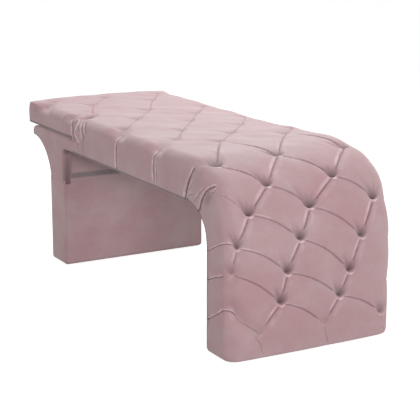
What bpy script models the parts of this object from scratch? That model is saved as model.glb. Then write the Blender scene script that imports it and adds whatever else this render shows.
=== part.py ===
"""Eyelash extension bed: a tufted waterfall couch with a tilting headrest and an upholstered leg.

Metres, +Z up. X runs along the bed, the foot at +X and the head at -X. The origin is on the floor
under the middle of the bed. Left and right are as seen from the foot end, so left is -Y.
A place on the upholstered top is given by its run, the distance along the crown from the floor
up the foot, round the bend and on to the head, and by its sunk depth under the crown.
"""

import math

import bmesh
import bpy
from mathutils import Matrix, Vector
from mathutils.geometry import delaunay_2d_cdt

# Overall sizes
LENGTH = 1.850
WIDTH = 0.700
HEIGHT = 0.700
HEADREST_LENGTH = 0.490
HEADREST_DEPTH = 0.102
BEND_RADIUS = 0.330
SHELL_DEPTH = 0.165

# Layers of the shell, from the crown down
CUSHION_DEPTH = 0.065
BOARD = 0.009
RAIL = 0.018
LINING = 0.0015
KNEE_PADDING = 0.004
SIDE_PADDING = 0.014
EDGE_PADDING = 0.004
SEAT_GAP = 0.0003
HEM_HEIGHT = 0.005

# Frame timber
BATTEN = 0.024
TIMBER_ROUND = 0.0012
BATTEN_COUNT_SPAN = 3
CURVE_BATTEN_DEPTH = 0.050
FOOT_BATTEN_DROP = 0.046
BEND_STEPS = 12

# Head support: flared cheeks over the leg, with a curved panel between them
SUPPORT_GAP = 0.010
SUPPORT_HEIGHT = 0.213
SUPPORT_SETBACK = 0.040
SUPPORT_TIP = 0.040
TIP_ROUND = 0.008
FLARE_RADIUS = 0.200
FLARE_DROP = 0.003
FLARE_TIP_ANGLE = 84
CHEEK_LINING = 0.006
CORNER_ROUND = 0.012
PANEL_BOARD = 0.008
PANEL_BACK_PADDING = 0.007
PANEL_FRONT_PADDING = 0.010
PANEL_HOLLOW = 0.034
DECK_PADDING = 0.008
DECK_BOARD = 0.012
PANEL_STEPS = 10
CORNER_STEPS = 3
PAD_CORNER_ROUND = 0.0027

# Leg slab
LEG_THICKNESS = 0.157
LEG_TONGUE = 0.025
LEG_BACK_SETBACK = 0.230
LEG_PADDING = 0.012
LEG_TOP_PADDING = 0.004
LEG_ROUND = 0.014
LEG_FACE_BOARD = 0.006
LEG_POST = 0.045
LEG_RAIL_HEIGHT = 0.045
LEG_BOLT_COUNT = 3
LEG_BOLT_INSET = 0.0974
TENON_INSET = 0.001

# Tufting
EDGE_ROUND = 0.028
HEM_ROUND = 0.006
END_ROUND = 0.024
END_SIDE_ROUND = 0.008
TIP_TOP_ROUND = 0.026
TIP_CORNER_ROUND = 0.030
CROWN = 0.006
SIDE_DRAW = 0.003
EDGE_STEPS = 3
TUFT_SUNK = 0.024
FOLD_SUNK = 0.012
FOLD_WIDTH = 0.015
TUFT_WIDTH = 0.024
PUFF_SPACING = 0.046
PLEAT_SUNK = 0.005
PLEAT_WIDTH = 0.012
PLEAT_REACH = 0.19
STATION_SPACING = 0.045
FOLD_STEPS = 5
FOLD_LONGEST = 0.27

# Where the tufts sit: the share of the run from the floor to the hinge, or from the hinge to the
# head tip, then shares of the half width, left negative
TUFT_ROW_SHARES = (
    (0.0470, (-0.61, 0.19, 0.92)),
    (0.0977, (-0.37, 0.37)),
    (0.1567, (-0.98, -0.28, 0.49)),
    (0.2194, (-0.86, -0.13, 0.66)),
    (0.2821, (-0.71, 0.06, 0.88)),
    (0.3396, (-0.36, 0.45)),
    (0.4232, (-0.77, 0.06, 0.88)),
    (0.5678, (-0.29, 0.58)),
    (0.6347, (-0.62, 0.10, 0.88)),
    (0.7157, (-0.29, 0.50)),
    (0.8045, (-0.77, 0.09, 0.85)),
    (0.8913, (-0.38, 0.43)),
    (0.9742, (-0.77, 0.02, 0.80)),
)
HEADREST_ROW_SHARES = (
    (0.4102, (-0.42, 0.41)),
    (0.7837, (-0.74, 0.01, 0.77)),
)
# Gathers in the side padding beside the hinge
GATHER_COUNT = 5
GATHER_SPACING = 0.022
GATHER_SETBACK = 0.030

# Headrest hinge
HINGE_GAP = 0.004
ARM_THICKNESS = 0.0025
ARM_ROUND = 0.013
ARM_SPACING = 0.0005
ARM_DROP = 0.100
ARM_REACH = 0.034
LEVER_LENGTH = 0.150
LEVER_ROUND = 0.008
LEVER_START = 0.030
PIN_RADIUS = 0.004
PIN_HEAD_RADIUS = 0.007
PIN_HEAD = 0.0025
RUNNING_GAP = 0.0005
BOLT_RADIUS = 0.003
BOLT_HEAD_RADIUS = 0.006
BOLT_HEAD = 0.003
ARM_BOLT_SHARES = (0.62, 0.92)
LEVER_SCREW_SHARES = (0.45, 0.90)
SCREW_LENGTH = 0.030
POCKET_GAP = 0.0012
POCKET_REACH = 0.015
STRAP_STEPS = 8
HEADREST_BOARD = 0.018
HEADREST_RIM = 0.018
COACH_BOLT_RADIUS = 0.004
COACH_BOLT_HEAD_RADIUS = 0.009
COACH_BOLT_HEAD = 0.004
COACH_BOLT_LENGTH = 0.062

# Glides
GLIDE_RADIUS = 0.014
GLIDE_INSET = 0.030
GLIDE_EDGE = 0.0012

OVERRUN = 0.010
MERGE = 0.00001
ROUND_SIDES = 24
SMOOTH_ANGLE = math.radians(35)
HALF_SHARE = 0.5
SIDES = ((-1, "left"), (1, "right"))

# Places worked out from the sizes
X_FOOT = LENGTH / 2
X_HEAD = -LENGTH / 2
X_HINGE = X_HEAD + HEADREST_LENGTH
X_BEND = X_FOOT - BEND_RADIUS
Z_BEND = HEIGHT - BEND_RADIUS
BEND_RUN = BEND_RADIUS * math.pi / 2
RUN_HINGE = Z_BEND + BEND_RUN + X_BEND - X_HINGE
RUN_TIP = Z_BEND + BEND_RUN + X_BEND - X_HEAD
DECK_SUNK = CUSHION_DEPTH + SEAT_GAP
RAIL_SUNK = DECK_SUNK + BOARD + SEAT_GAP
UNDER_SUNK = SHELL_DEPTH
Y_RAIL_OUT = WIDTH / 2 - SIDE_PADDING
Y_RAIL_IN = Y_RAIL_OUT - SEAT_GAP - RAIL
Y_BATTEN = Y_RAIL_IN - SEAT_GAP
X_LEG_BACK = X_HEAD + LEG_BACK_SETBACK
X_LEG_FRONT = X_LEG_BACK + LEG_THICKNESS
Z_PIVOT = HEIGHT - END_ROUND
Z_HEADREST = HEIGHT - HEADREST_DEPTH
SUPPORT_TOP = Z_HEADREST - SUPPORT_GAP
CHEEK_BOTTOM = SUPPORT_TOP - SUPPORT_HEIGHT
LEG_TOP = CHEEK_BOTTOM + LEG_TONGUE
X_SUPPORT_TIP = X_HEAD + SUPPORT_SETBACK
Z_TIP = SUPPORT_TOP - SUPPORT_TIP
Z_FLARE = Z_TIP - FLARE_RADIUS - FLARE_DROP
PANEL_BOARD_RADIUS = FLARE_RADIUS + PANEL_BACK_PADDING + SEAT_GAP + PANEL_BOARD
PANEL_FRONT_RADIUS = PANEL_BOARD_RADIUS + PANEL_HOLLOW + PANEL_FRONT_PADDING
ARM_OUT = Y_RAIL_IN - SEAT_GAP
ARM_IN = ARM_OUT - ARM_THICKNESS
LEVER_OUT = ARM_IN - ARM_SPACING
LEVER_IN = LEVER_OUT - ARM_THICKNESS
Y_HEADREST_BOARD = LEVER_IN - SEAT_GAP

VELVET = ((0.53, 0.35, 0.36), 0.85, 0.0)
TIMBER = ((0.62, 0.45, 0.27), 0.65, 0.0)
PLYWOOD = ((0.70, 0.54, 0.35), 0.60, 0.0)
STEEL = ((0.55, 0.56, 0.57), 0.35, 1.0)
NON_WOVEN = ((0.03, 0.03, 0.03), 0.95, 0.0)
PLASTIC = ((0.05, 0.05, 0.05), 0.50, 0.0)


def new_collection(name):
    collection = bpy.data.collections.new(name)
    bpy.context.scene.collection.children.link(collection)
    return collection


for leftover in list(bpy.data.objects):
    bpy.data.objects.remove(leftover)
PARTS = new_collection("eyelash_extension_bed")
CUTTERS = new_collection("cutters")


def finish(obj, surface):
    """Gives an object its own material."""
    color, roughness, metallic = surface
    material = bpy.data.materials.new(obj.name + "_finish")
    material.use_nodes = True
    shader = material.node_tree.nodes["Principled BSDF"]
    shader.inputs["Base Color"].default_value = (*color, 1.0)
    shader.inputs["Roughness"].default_value = roughness
    shader.inputs["Metallic"].default_value = metallic
    obj.data.materials.clear()
    obj.data.materials.append(material)


def add_object(name, bm, place=(0, 0, 0), surface=None):
    """Makes a mesh object from a bmesh. Without a surface it is a cutter, which isn't rendered."""
    bmesh.ops.recalc_face_normals(bm, faces=bm.faces[:])
    mesh = bpy.data.meshes.new(name)
    bm.to_mesh(mesh)
    bm.free()
    obj = bpy.data.objects.new(name, mesh)
    obj.location = place
    if surface is None:
        CUTTERS.objects.link(obj)
        obj.hide_render = True
        obj.display_type = "WIRE"
    else:
        PARTS.objects.link(obj)
        mesh.shade_smooth()
        mesh.set_sharp_from_angle(angle=SMOOTH_ANGLE)
        finish(obj, surface)
    return obj


def box(name, low, high, surface=None, rounding=0):
    """A box between two corners, with its edges rounded."""
    low, high = Vector(low), Vector(high)
    bm = bmesh.new()
    bmesh.ops.create_cube(bm, size=1)
    bmesh.ops.scale(bm, vec=high - low, verts=bm.verts[:])
    obj = add_object(name, bm, (low + high) / 2, surface)
    if rounding:
        bevel = obj.modifiers.new("rounding", "BEVEL")
        bevel.width = rounding
        bevel.segments = 2
    return obj


def outline_solid(name, outline, y_low, y_high, surface=None, rounding=0):
    """A side view outline in X and Z, filled and extruded across the bed between two Y."""
    curve = bpy.data.curves.new(name + "_outline", "CURVE")
    curve.dimensions = "2D"
    curve.fill_mode = "BOTH"
    curve.extrude = (y_high - y_low) / 2
    spline = curve.splines.new("POLY")
    spline.points.add(len(outline) - 1)
    for point, (x, z) in zip(spline.points, outline):
        point.co = (x, z, 0, 1)
    spline.use_cyclic_u = True
    guide = bpy.data.objects.new(name + "_guide", curve)
    guide.rotation_euler.x = math.pi / 2
    guide.location.y = (y_low + y_high) / 2
    PARTS.objects.link(guide)
    bpy.context.view_layer.update()
    evaluated = guide.evaluated_get(bpy.context.evaluated_depsgraph_get())
    mesh = bpy.data.meshes.new_from_object(evaluated)
    bm = bmesh.new()
    bm.from_mesh(mesh)
    bmesh.ops.remove_doubles(bm, verts=bm.verts[:], dist=MERGE)
    obj = add_object(name, bm, surface=surface)
    obj.matrix_world = guide.matrix_world.copy()
    bpy.data.objects.remove(guide)
    bpy.data.curves.remove(curve)
    bpy.data.meshes.remove(mesh)
    if rounding:
        bevel = obj.modifiers.new("rounding", "BEVEL")
        bevel.width = rounding
        bevel.segments = 2
        bevel.limit_method = "ANGLE"
        bevel.angle_limit = SMOOTH_ANGLE
    return obj


def turned(name, profile, place, tilt=(0, 0, 0), surface=None):
    """A profile of radius and height, top to bottom, turned about Z and then tilted."""
    bm = bmesh.new()
    ring = [bm.verts.new((radius, 0, height)) for radius, height in profile]
    for upper, lower in zip(ring, ring[1:]):
        bm.edges.new((upper, lower))
    obj = add_object(name, bm, place, surface)
    obj.rotation_euler = tilt
    screw = obj.modifiers.new("turning", "SCREW")
    screw.steps = screw.render_steps = ROUND_SIDES
    screw.use_merge_vertices = True
    screw.merge_threshold = MERGE
    return obj


def cut(obj, cutter, operation="DIFFERENCE"):
    boolean = obj.modifiers.new(operation.lower(), "BOOLEAN")
    boolean.object = cutter
    boolean.operation = operation
    boolean.solver = "EXACT"


def crown(run):
    """The point (x, z) of the crown at a run, and its outward direction (x, z)."""
    if run <= Z_BEND:
        return (X_FOOT, run), (1.0, 0.0)
    if run <= Z_BEND + BEND_RUN:
        angle = (run - Z_BEND) / BEND_RADIUS
        out = (math.cos(angle), math.sin(angle))
        return (X_BEND + BEND_RADIUS * out[0], Z_BEND + BEND_RADIUS * out[1]), out
    return (X_BEND - (run - Z_BEND - BEND_RUN), HEIGHT), (0.0, 1.0)


def sunk_point(run, sunk):
    (x, z), (out_x, out_z) = crown(run)
    return x - out_x * sunk, z - out_z * sunk


def bend_stations():
    """The runs of the facets round the bend, shared by every layer so that the layers stay parallel."""
    return [Z_BEND + BEND_RUN * step / BEND_STEPS for step in range(BEND_STEPS + 1)]


def layer_outline(sunk_top, sunk_under, run_start, run_end):
    """The side view of a layer between two depths, from one run to another."""
    stations = [run for run in bend_stations() if run_start < run < run_end]
    stations = [run_start, *stations, run_end]
    upper = [sunk_point(run, sunk_top) for run in stations]
    lower = [sunk_point(run, sunk_under) for run in reversed(stations)]
    return upper + lower


def arc(centre, radius, start, end, steps):
    """Points of an arc in X and Z, its angles in degrees from +X towards +Z."""
    points = []
    for step in range(steps + 1):
        angle = math.radians(start + (end - start) * step / steps)
        points.append((centre[0] + radius * math.cos(angle), centre[1] + radius * math.sin(angle)))
    return points


def flare_angle(height, radius):
    """The angle on the flare, from +X, at a height. A height at or over an arc's top gives its top."""
    return math.degrees(math.asin(min((height - Z_FLARE) / radius, 1)))


def side_outline(sunk_top, inset, hem):
    """The side view of the bed's frame: foot, bend, span and head support, in from its padded edges."""
    under = UNDER_SUNK - inset
    top = SUPPORT_TOP - inset
    tip = X_SUPPORT_TIP + inset
    flare = FLARE_RADIUS + inset
    front = X_LEG_FRONT - inset
    bottom = CHEEK_BOTTOM + inset
    upper = [sunk_point(run, sunk_top) for run in (hem, *bend_stations())]
    hinge_x = X_HINGE + HINGE_GAP / 2
    head = [(hinge_x, HEIGHT - sunk_top), (hinge_x, top)]
    nose = arc((tip + TIP_ROUND, top - TIP_ROUND), TIP_ROUND, 90, 180, CORNER_STEPS)
    chin_z = Z_FLARE + math.sqrt(flare**2 - (tip - X_SUPPORT_TIP) ** 2)
    flare_end = flare_angle(bottom, flare)
    flare_arc = arc((X_SUPPORT_TIP, Z_FLARE), flare, FLARE_TIP_ANGLE, flare_end, PANEL_STEPS)
    inner = (front + CORNER_ROUND, HEIGHT - under - CORNER_ROUND)
    corner = arc(inner, CORNER_ROUND, 180, 90, CORNER_STEPS)
    lower = [sunk_point(run, under) for run in (*reversed(bend_stations()), hem)]
    return upper + head + nose + [(tip, chin_z)] + flare_arc + [(front, bottom)] + corner + lower


def tuft_places(rows, run_start, run_end):
    """Tuft points (run, across), row by row, along a stretch of the crown."""
    half, length = WIDTH / 2, run_end - run_start
    return [[(run_start + share * length, place * half) for place in places] for share, places in rows]


def main_tufts():
    return tuft_places(TUFT_ROW_SHARES, 0, RUN_HINGE)


def fold_lines(rows):
    """Each tuft is joined to the nearest tuft on either side of it in the next row."""
    lines = []
    for row, following in zip(rows, rows[1:]):
        for tuft in row:
            for side in (-1, 1):
                near = [o for o in following if 0 <= side * (o[1] - tuft[1]) < FOLD_LONGEST]
                if near:
                    lines.append((tuft, min(near, key=lambda other: abs(other[1] - tuft[1]))))
    return lines


def on_bend(run):
    return Z_BEND < run < Z_BEND + BEND_RUN


def pleat_runs(rows, side):
    """The runs at which a fold goes over one long edge: beside each row whose last tuft is near it."""
    runs = []
    for row in rows:
        run, across = max(row, key=lambda tuft: side * tuft[1])
        if side * across > PLEAT_REACH:
            if on_bend(run):
                run = min(bend_stations(), key=lambda station: abs(station - run))
            runs.append(run)
    return runs


def line_distance(point, start, end):
    along = Vector(end) - Vector(start)
    share = (Vector(point) - Vector(start)).dot(along) / along.length_squared
    nearest = Vector(start) + along * min(max(share, 0), 1)
    return (Vector(point) - nearest).length


def bell(distance, width):
    return math.exp(-((distance / width) ** 2))


class Quilt:
    """A tufted pad laid along the crown: its tufts, its folds and how far each point of it sinks."""

    def __init__(self, run_start, run_end, depth, rows, start_rounds, end_rounds):
        self.run_start, self.run_end, self.depth = run_start, run_end, depth
        self.start_rounds, self.end_rounds = start_rounds, end_rounds
        self.rows = rows
        self.folds = fold_lines(self.rows)
        self.flat = WIDTH / 2 - EDGE_ROUND
        self.wall_start = self.flat + EDGE_ROUND * math.pi / 2
        self.across_end = self.wall_start + depth - EDGE_ROUND
        self.pleats = [(run, side) for side in (-1, 1) for run in pleat_runs(self.rows, side)]

    def across_lines(self):
        """The across of the lines that run the whole length of one long edge and its side wall."""
        quarter = EDGE_ROUND * math.pi / 2
        lines = [self.flat + quarter * step / EDGE_STEPS for step in range(EDGE_STEPS + 1)]
        return [*lines, self.across_end]

    def stations(self):
        """The runs of the cross lines: pleats, rounded ends, the bend's facets, and others between them."""
        start, end = self.run_start, self.run_end
        fixed = {start, end}
        for rounds, edge, way in ((self.start_rounds, start, 1), (self.end_rounds, end, -1)):
            for step in range(EDGE_STEPS):
                fixed.add(edge + way * rounds[0] * (1 - math.sin(math.pi / 2 * step / EDGE_STEPS)))
        for run, _ in self.pleats:
            fixed.add(run)
            if not on_bend(run):
                fixed.update((run - PLEAT_WIDTH, run + PLEAT_WIDTH))
        fixed.update(run for run in bend_stations() if start < run < end)
        fixed = sorted(run for run in fixed if start <= run <= end)
        runs = []
        for run, following in zip(fixed, fixed[1:]):
            steps = max(1, round((following - run) / STATION_SPACING))
            runs += [run + (following - run) * step / steps for step in range(steps)]
        return [*runs, end]

    def section(self, across):
        """Across the bed: y, how deep it is, and the outward direction there as shares of y and of up."""
        side, reach = math.copysign(1, across), abs(across)
        if reach <= self.flat:
            return across, CROWN * (across / self.flat) ** 2, 0, 1
        if reach <= self.wall_start:
            angle = (reach - self.flat) / EDGE_ROUND
            out, up = math.sin(angle), math.cos(angle)
            drop = EDGE_ROUND * (1 - up) + CROWN * up
            return side * (self.flat + EDGE_ROUND * out), drop, side * out, up
        down = (reach - self.wall_start) / (self.across_end - self.wall_start)
        drawn = SIDE_DRAW * down**2
        return side * (WIDTH / 2 - drawn), EDGE_ROUND + reach - self.wall_start, side, 0

    def end_sunk(self, run, up):
        """How far the rounded ends sink a point, on top and on the side walls."""
        sunk = 0
        from_start, from_end = run - self.run_start, self.run_end - run
        for rounds, left in ((self.start_rounds, from_start), (self.end_rounds, from_end)):
            rounding = rounds[0] * up + rounds[1] * (1 - up)
            if left < rounding:
                sunk += rounding - math.sqrt(max(rounding**2 - (rounding - left) ** 2, 0))
        return sunk

    def sunk(self, run, across):
        """How far tufts, folds and pleats sink a point."""
        place = (run, across)
        sunk = 0
        for row in self.rows:
            for tuft in row:
                sunk = max(sunk, TUFT_SUNK * bell(math.dist(place, tuft), TUFT_WIDTH))
        for start, end in self.folds:
            sunk = max(sunk, FOLD_SUNK * bell(line_distance(place, start, end), FOLD_WIDTH))
        for pleat, side in self.pleats:
            if side * across > PLEAT_REACH:
                sunk = max(sunk, PLEAT_SUNK * bell(run - pleat, PLEAT_WIDTH / 2))
        return sunk

    def place(self, run, across):
        y, drop, out_y, up = self.section(across)
        sunk = self.sunk(run, across) + self.end_sunk(run, up)
        x, z = sunk_point(run, drop + up * sunk)
        return x, y - out_y * sunk, z

    def plan(self):
        """Points and lines of the flat cover: edge lines, folds, tufts and the puffs between them."""
        points, lines = [], []

        def add(run, across):
            points.append((run, across))
            return len(points) - 1

        stations = self.stations()
        for side in (-1, 1):
            for across in self.across_lines():
                row = [add(run, side * across) for run in stations]
                lines.extend(zip(row, row[1:]))
        for start, end in self.folds:
            row = [
                add(*Vector(start).lerp(Vector(end), step / FOLD_STEPS))
                for step in range(FOLD_STEPS + 1)
            ]
            lines.extend(zip(row, row[1:]))
        ends = [run for run in stations if run < self.run_start + self.start_rounds[0] + MERGE]
        ends += [run for run in stations if run > self.run_end - self.end_rounds[0] - MERGE]
        columns = round(2 * self.flat / PUFF_SPACING)
        for run in ends:
            for step in range(1, columns):
                add(run, -self.flat + 2 * self.flat * step / columns)
        low = self.run_start + self.start_rounds[0] + PUFF_SPACING / 2
        high = self.run_end - self.end_rounds[0] - PUFF_SPACING / 2
        rows = round((high - low) / PUFF_SPACING)
        for row in range(rows + 1):
            run = low + (high - low) * row / rows
            for step in range(1, columns):
                across = -self.flat + 2 * self.flat * (step + (row % 2) / 2) / columns
                free = min(line_distance((run, across), *fold) for fold in self.folds)
                if free > FOLD_WIDTH and abs(across) < self.flat - FOLD_WIDTH:
                    add(run, across)
        return points, lines

    def mesh(self):
        """The closed pad: the tufted cover, its plain underside and its two ends."""
        points, lines = self.plan()
        flat, _, triangles, *_ = delaunay_2d_cdt(points, lines, [], 0, MERGE)
        bm = bmesh.new()
        verts = [bm.verts.new(self.place(*point)) for point in flat]
        for triangle in triangles:
            bm.faces.new([verts[index] for index in triangle])
        order = sorted(range(len(flat)), key=lambda index: tuple(flat[index]))
        left = [verts[i] for i in order if abs(flat[i][1] + self.across_end) < MERGE]
        right = [verts[i] for i in order if abs(flat[i][1] - self.across_end) < MERGE]
        for step in range(len(left) - 1):
            bm.faces.new((left[step], left[step + 1], right[step + 1], right[step]))
        across_order = sorted(range(len(flat)), key=lambda index: flat[index][1])
        for edge in (self.run_start, self.run_end):
            bm.faces.new([verts[i] for i in across_order if abs(flat[i][0] - edge) < MERGE])
        return bm


def make_main_cushion():
    quilt = Quilt(
        HEM_HEIGHT,
        RUN_HINGE - HINGE_GAP / 2,
        CUSHION_DEPTH,
        main_tufts(),
        (HEM_ROUND, HEM_ROUND),
        (END_ROUND, END_SIDE_ROUND),
    )
    cushion = add_object("main_cushion", quilt.mesh(), surface=VELVET)
    x_low, x_high = X_HINGE - POCKET_REACH, X_HINGE + ARM_REACH
    for side, word in SIDES:
        cut(cushion, pivot_pocket(f"main_pocket_{word}", side, x_low, x_high))


def pivot_pocket(name, side, x_low, x_high):
    """The slot in a cushion's end for both hinge arms and the pin's ends."""
    y_inner = LEVER_IN - SEAT_GAP - PIN_HEAD - POCKET_GAP
    y_outer = ARM_OUT + SEAT_GAP + PIN_HEAD + POCKET_GAP
    y_low, y_high = sorted((side * y_inner, side * y_outer))
    low = (x_low, y_low, Z_HEADREST - OVERRUN)
    high = (x_high, y_high, Z_PIVOT + ARM_ROUND + POCKET_GAP)
    return box(name, low, high)


def make_headrest(pivot):
    quilt = Quilt(
        RUN_HINGE + HINGE_GAP / 2,
        RUN_TIP,
        HEADREST_DEPTH,
        tuft_places(HEADREST_ROW_SHARES, RUN_HINGE, RUN_TIP),
        (END_ROUND, END_SIDE_ROUND),
        (TIP_TOP_ROUND, TIP_CORNER_ROUND),
    )
    cushion = add_object("headrest_cushion", quilt.mesh(), surface=VELVET)
    z_board = Z_HEADREST + LINING + SEAT_GAP
    z_top = z_board + HEADREST_BOARD
    x_low, x_high = X_HEAD + HEADREST_RIM, X_HINGE - HEADREST_RIM
    y = Y_HEADREST_BOARD
    board = box("headrest_board", (x_low, -y, z_board), (x_high, y, z_top), PLYWOOD, TIMBER_ROUND)
    lining = box("headrest_lining", (x_low, -y, Z_HEADREST), (x_high, y, Z_HEADREST + LINING), NON_WOVEN)
    recess_low = (x_low - SEAT_GAP, -y - SEAT_GAP, Z_HEADREST - OVERRUN)
    recess_high = (x_high + SEAT_GAP, y + SEAT_GAP, z_top + SEAT_GAP)
    cut(cushion, box("board_recess", recess_low, recess_high))
    moving = [cushion, board, lining]
    z_lever = z_board + HEADREST_BOARD / 2
    x_lever = X_HINGE - LEVER_START
    lever_end = (x_lever - LEVER_LENGTH, z_lever)
    for side, word in SIDES:
        x_slot = X_HINGE - LEVER_START - ARM_ROUND - POCKET_GAP
        cut(cushion, pivot_pocket(f"headrest_pocket_{word}", side, x_slot, X_HINGE + POCKET_REACH))
        slot_in, slot_out = y, LEVER_OUT + SEAT_GAP + BOLT_HEAD + POCKET_GAP
        y_low, y_high = sorted((side * slot_in, side * slot_out))
        low = (lever_end[0] - LEVER_ROUND - POCKET_GAP, y_low, Z_HEADREST - OVERRUN)
        high = (x_lever, y_high, z_lever + LEVER_ROUND + POCKET_GAP)
        cut(cushion, box(f"lever_slot_{word}", low, high))
        pin, knee = (X_HINGE, Z_PIVOT), (x_lever, z_lever)
        lever = strap(f"hinge_{word}_moving_arm", side, LEVER_IN, LEVER_OUT, pin, knee, ARM_ROUND, STEEL)
        foot = strap(f"lever_foot_{word}", side, LEVER_IN, LEVER_OUT, knee, lever_end, LEVER_ROUND)
        cut(lever, foot, "UNION")
        cut(lever, pin_hole(f"lever_pin_hole_{word}", side, RUNNING_GAP))
        moving.append(lever)
        for number, share in enumerate(LEVER_SCREW_SHARES, 1):
            x = x_lever - LEVER_LENGTH * share
            place = (x, z_lever)
            screw = bolt(f"hinge_{word}_screw_{number}", side, place, LEVER_OUT, -side, SCREW_LENGTH)
            radius, tip = BOLT_RADIUS + SEAT_GAP, LEVER_OUT - SCREW_LENGTH - SEAT_GAP
            hole = rod(f"screw_hole_{word}_{number}", side, place, radius, tip, LEVER_OUT + OVERRUN)
            cut(lever, hole)
            cut(board, hole)
            moving.append(screw)
    for obj in moving:
        obj.location -= pivot.location
        obj.parent = pivot


def strap(name, side, y_low, y_high, start, end, rounding, surface=None):
    """A flat bar with round ends between two points of the side view."""
    heading = math.degrees(math.atan2(end[1] - start[1], end[0] - start[0]))
    outline = arc(start, rounding, heading + 90, heading + 270, STRAP_STEPS)
    outline += arc(end, rounding, heading - 90, heading + 90, STRAP_STEPS)
    low, high = sorted((side * y_low, side * y_high))
    return outline_solid(name, outline, low, high, surface)


def rod(name, side, place, radius, y_low, y_high):
    """A round cutter across the bed."""
    bm = bmesh.new()
    bmesh.ops.create_cone(
        bm, cap_ends=True, segments=ROUND_SIDES, radius1=radius, radius2=radius, depth=y_high - y_low
    )
    obj = add_object(name, bm, (place[0], side * (y_low + y_high) / 2, place[1]))
    obj.rotation_euler.x = math.pi / 2
    return obj


def bolt(name, side, place, seat, tip_way, length):
    """A bolt across the bed, its head seated at a distance from the middle and its tip pointing away."""
    gap = SEAT_GAP if tip_way == -side else -SEAT_GAP
    profile = (
        (0, BOLT_HEAD),
        (BOLT_HEAD_RADIUS, BOLT_HEAD),
        (BOLT_HEAD_RADIUS, 0),
        (BOLT_RADIUS, 0),
        (BOLT_RADIUS, -length),
        (0, -length),
    )
    tilt = (tip_way * math.pi / 2, 0, 0)
    return turned(name, profile, (place[0], side * (seat + gap), place[1]), tilt, STEEL)


def pin_hole(name, side, gap):
    return rod(name, side, (X_HINGE, Z_PIVOT), PIN_RADIUS + gap, LEVER_IN - OVERRUN, ARM_OUT + OVERRUN)


def make_hinge(side, word, rail):
    """The fixed arm of one hinge, its pin and the bolts that hold it to the side rail."""
    start = Vector((X_HINGE, Z_PIVOT))
    end = start + Vector((ARM_REACH, -ARM_DROP))
    arm = strap(f"hinge_{word}_fixed_arm", side, ARM_IN, ARM_OUT, start, end, ARM_ROUND, STEEL)
    cut(arm, pin_hole(f"arm_pin_hole_{word}", side, SEAT_GAP))
    for number, share in enumerate(ARM_BOLT_SHARES, 1):
        place = start.lerp(end, share)
        length = Y_RAIL_OUT - ARM_IN - BOLT_HEAD
        bolt(f"hinge_{word}_bolt_{number}", side, place, ARM_IN, side, length)
        radius, y_low, y_high = BOLT_RADIUS + SEAT_GAP, ARM_IN - OVERRUN, Y_RAIL_OUT + OVERRUN
        hole = rod(f"bolt_hole_{word}_{number}", side, place, radius, y_low, y_high)
        cut(arm, hole)
        cut(rail, hole)
    shank = ARM_OUT - LEVER_IN + 2 * SEAT_GAP
    profile = (
        (0, PIN_HEAD),
        (PIN_HEAD_RADIUS, PIN_HEAD),
        (PIN_HEAD_RADIUS, 0),
        (PIN_RADIUS, 0),
        (PIN_RADIUS, -shank),
        (PIN_HEAD_RADIUS, -shank),
        (PIN_HEAD_RADIUS, -shank - PIN_HEAD),
        (0, -shank - PIN_HEAD),
    )
    place = (X_HINGE, side * (LEVER_IN - SEAT_GAP), Z_PIVOT)
    turned(f"hinge_{word}_pin", profile, place, (side * math.pi / 2, 0, 0), STEEL)


def pleat_cutters(side, word):
    """Square bars set on edge along the side padding, which leave the pleats' grooves in it."""
    half, width = WIDTH / 2, PLEAT_WIDTH / 2
    first_gather = RUN_HINGE - GATHER_SETBACK
    gathers = [first_gather - step * GATHER_SPACING for step in range(GATHER_COUNT)]
    pleats = pleat_runs(main_tufts(), side)
    bm = bmesh.new()
    for run in [run for run in pleats if run < min(gathers) - GATHER_SPACING] + gathers:
        (top_x, top_z) = sunk_point(run, CUSHION_DEPTH - OVERRUN)
        (low_x, low_z) = sunk_point(run, UNDER_SUNK + OVERRUN)
        down = Vector((low_x - top_x, 0, low_z - top_z))
        bar = bmesh.ops.create_cube(bm, size=1)["verts"]
        bmesh.ops.scale(bm, vec=(width, width, down.length), verts=bar)
        bmesh.ops.rotate(bm, verts=bar, matrix=Matrix.Rotation(math.pi / 4, 3, "Z"))
        upright = Vector((0, 0, 1)).rotation_difference(down).to_matrix()
        bmesh.ops.rotate(bm, verts=bar, matrix=upright)
        middle = ((top_x + low_x) / 2, side * half, (top_z + low_z) / 2)
        bmesh.ops.translate(bm, vec=middle, verts=bar)
    return add_object(f"pleat_bars_{word}", bm)


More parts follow.
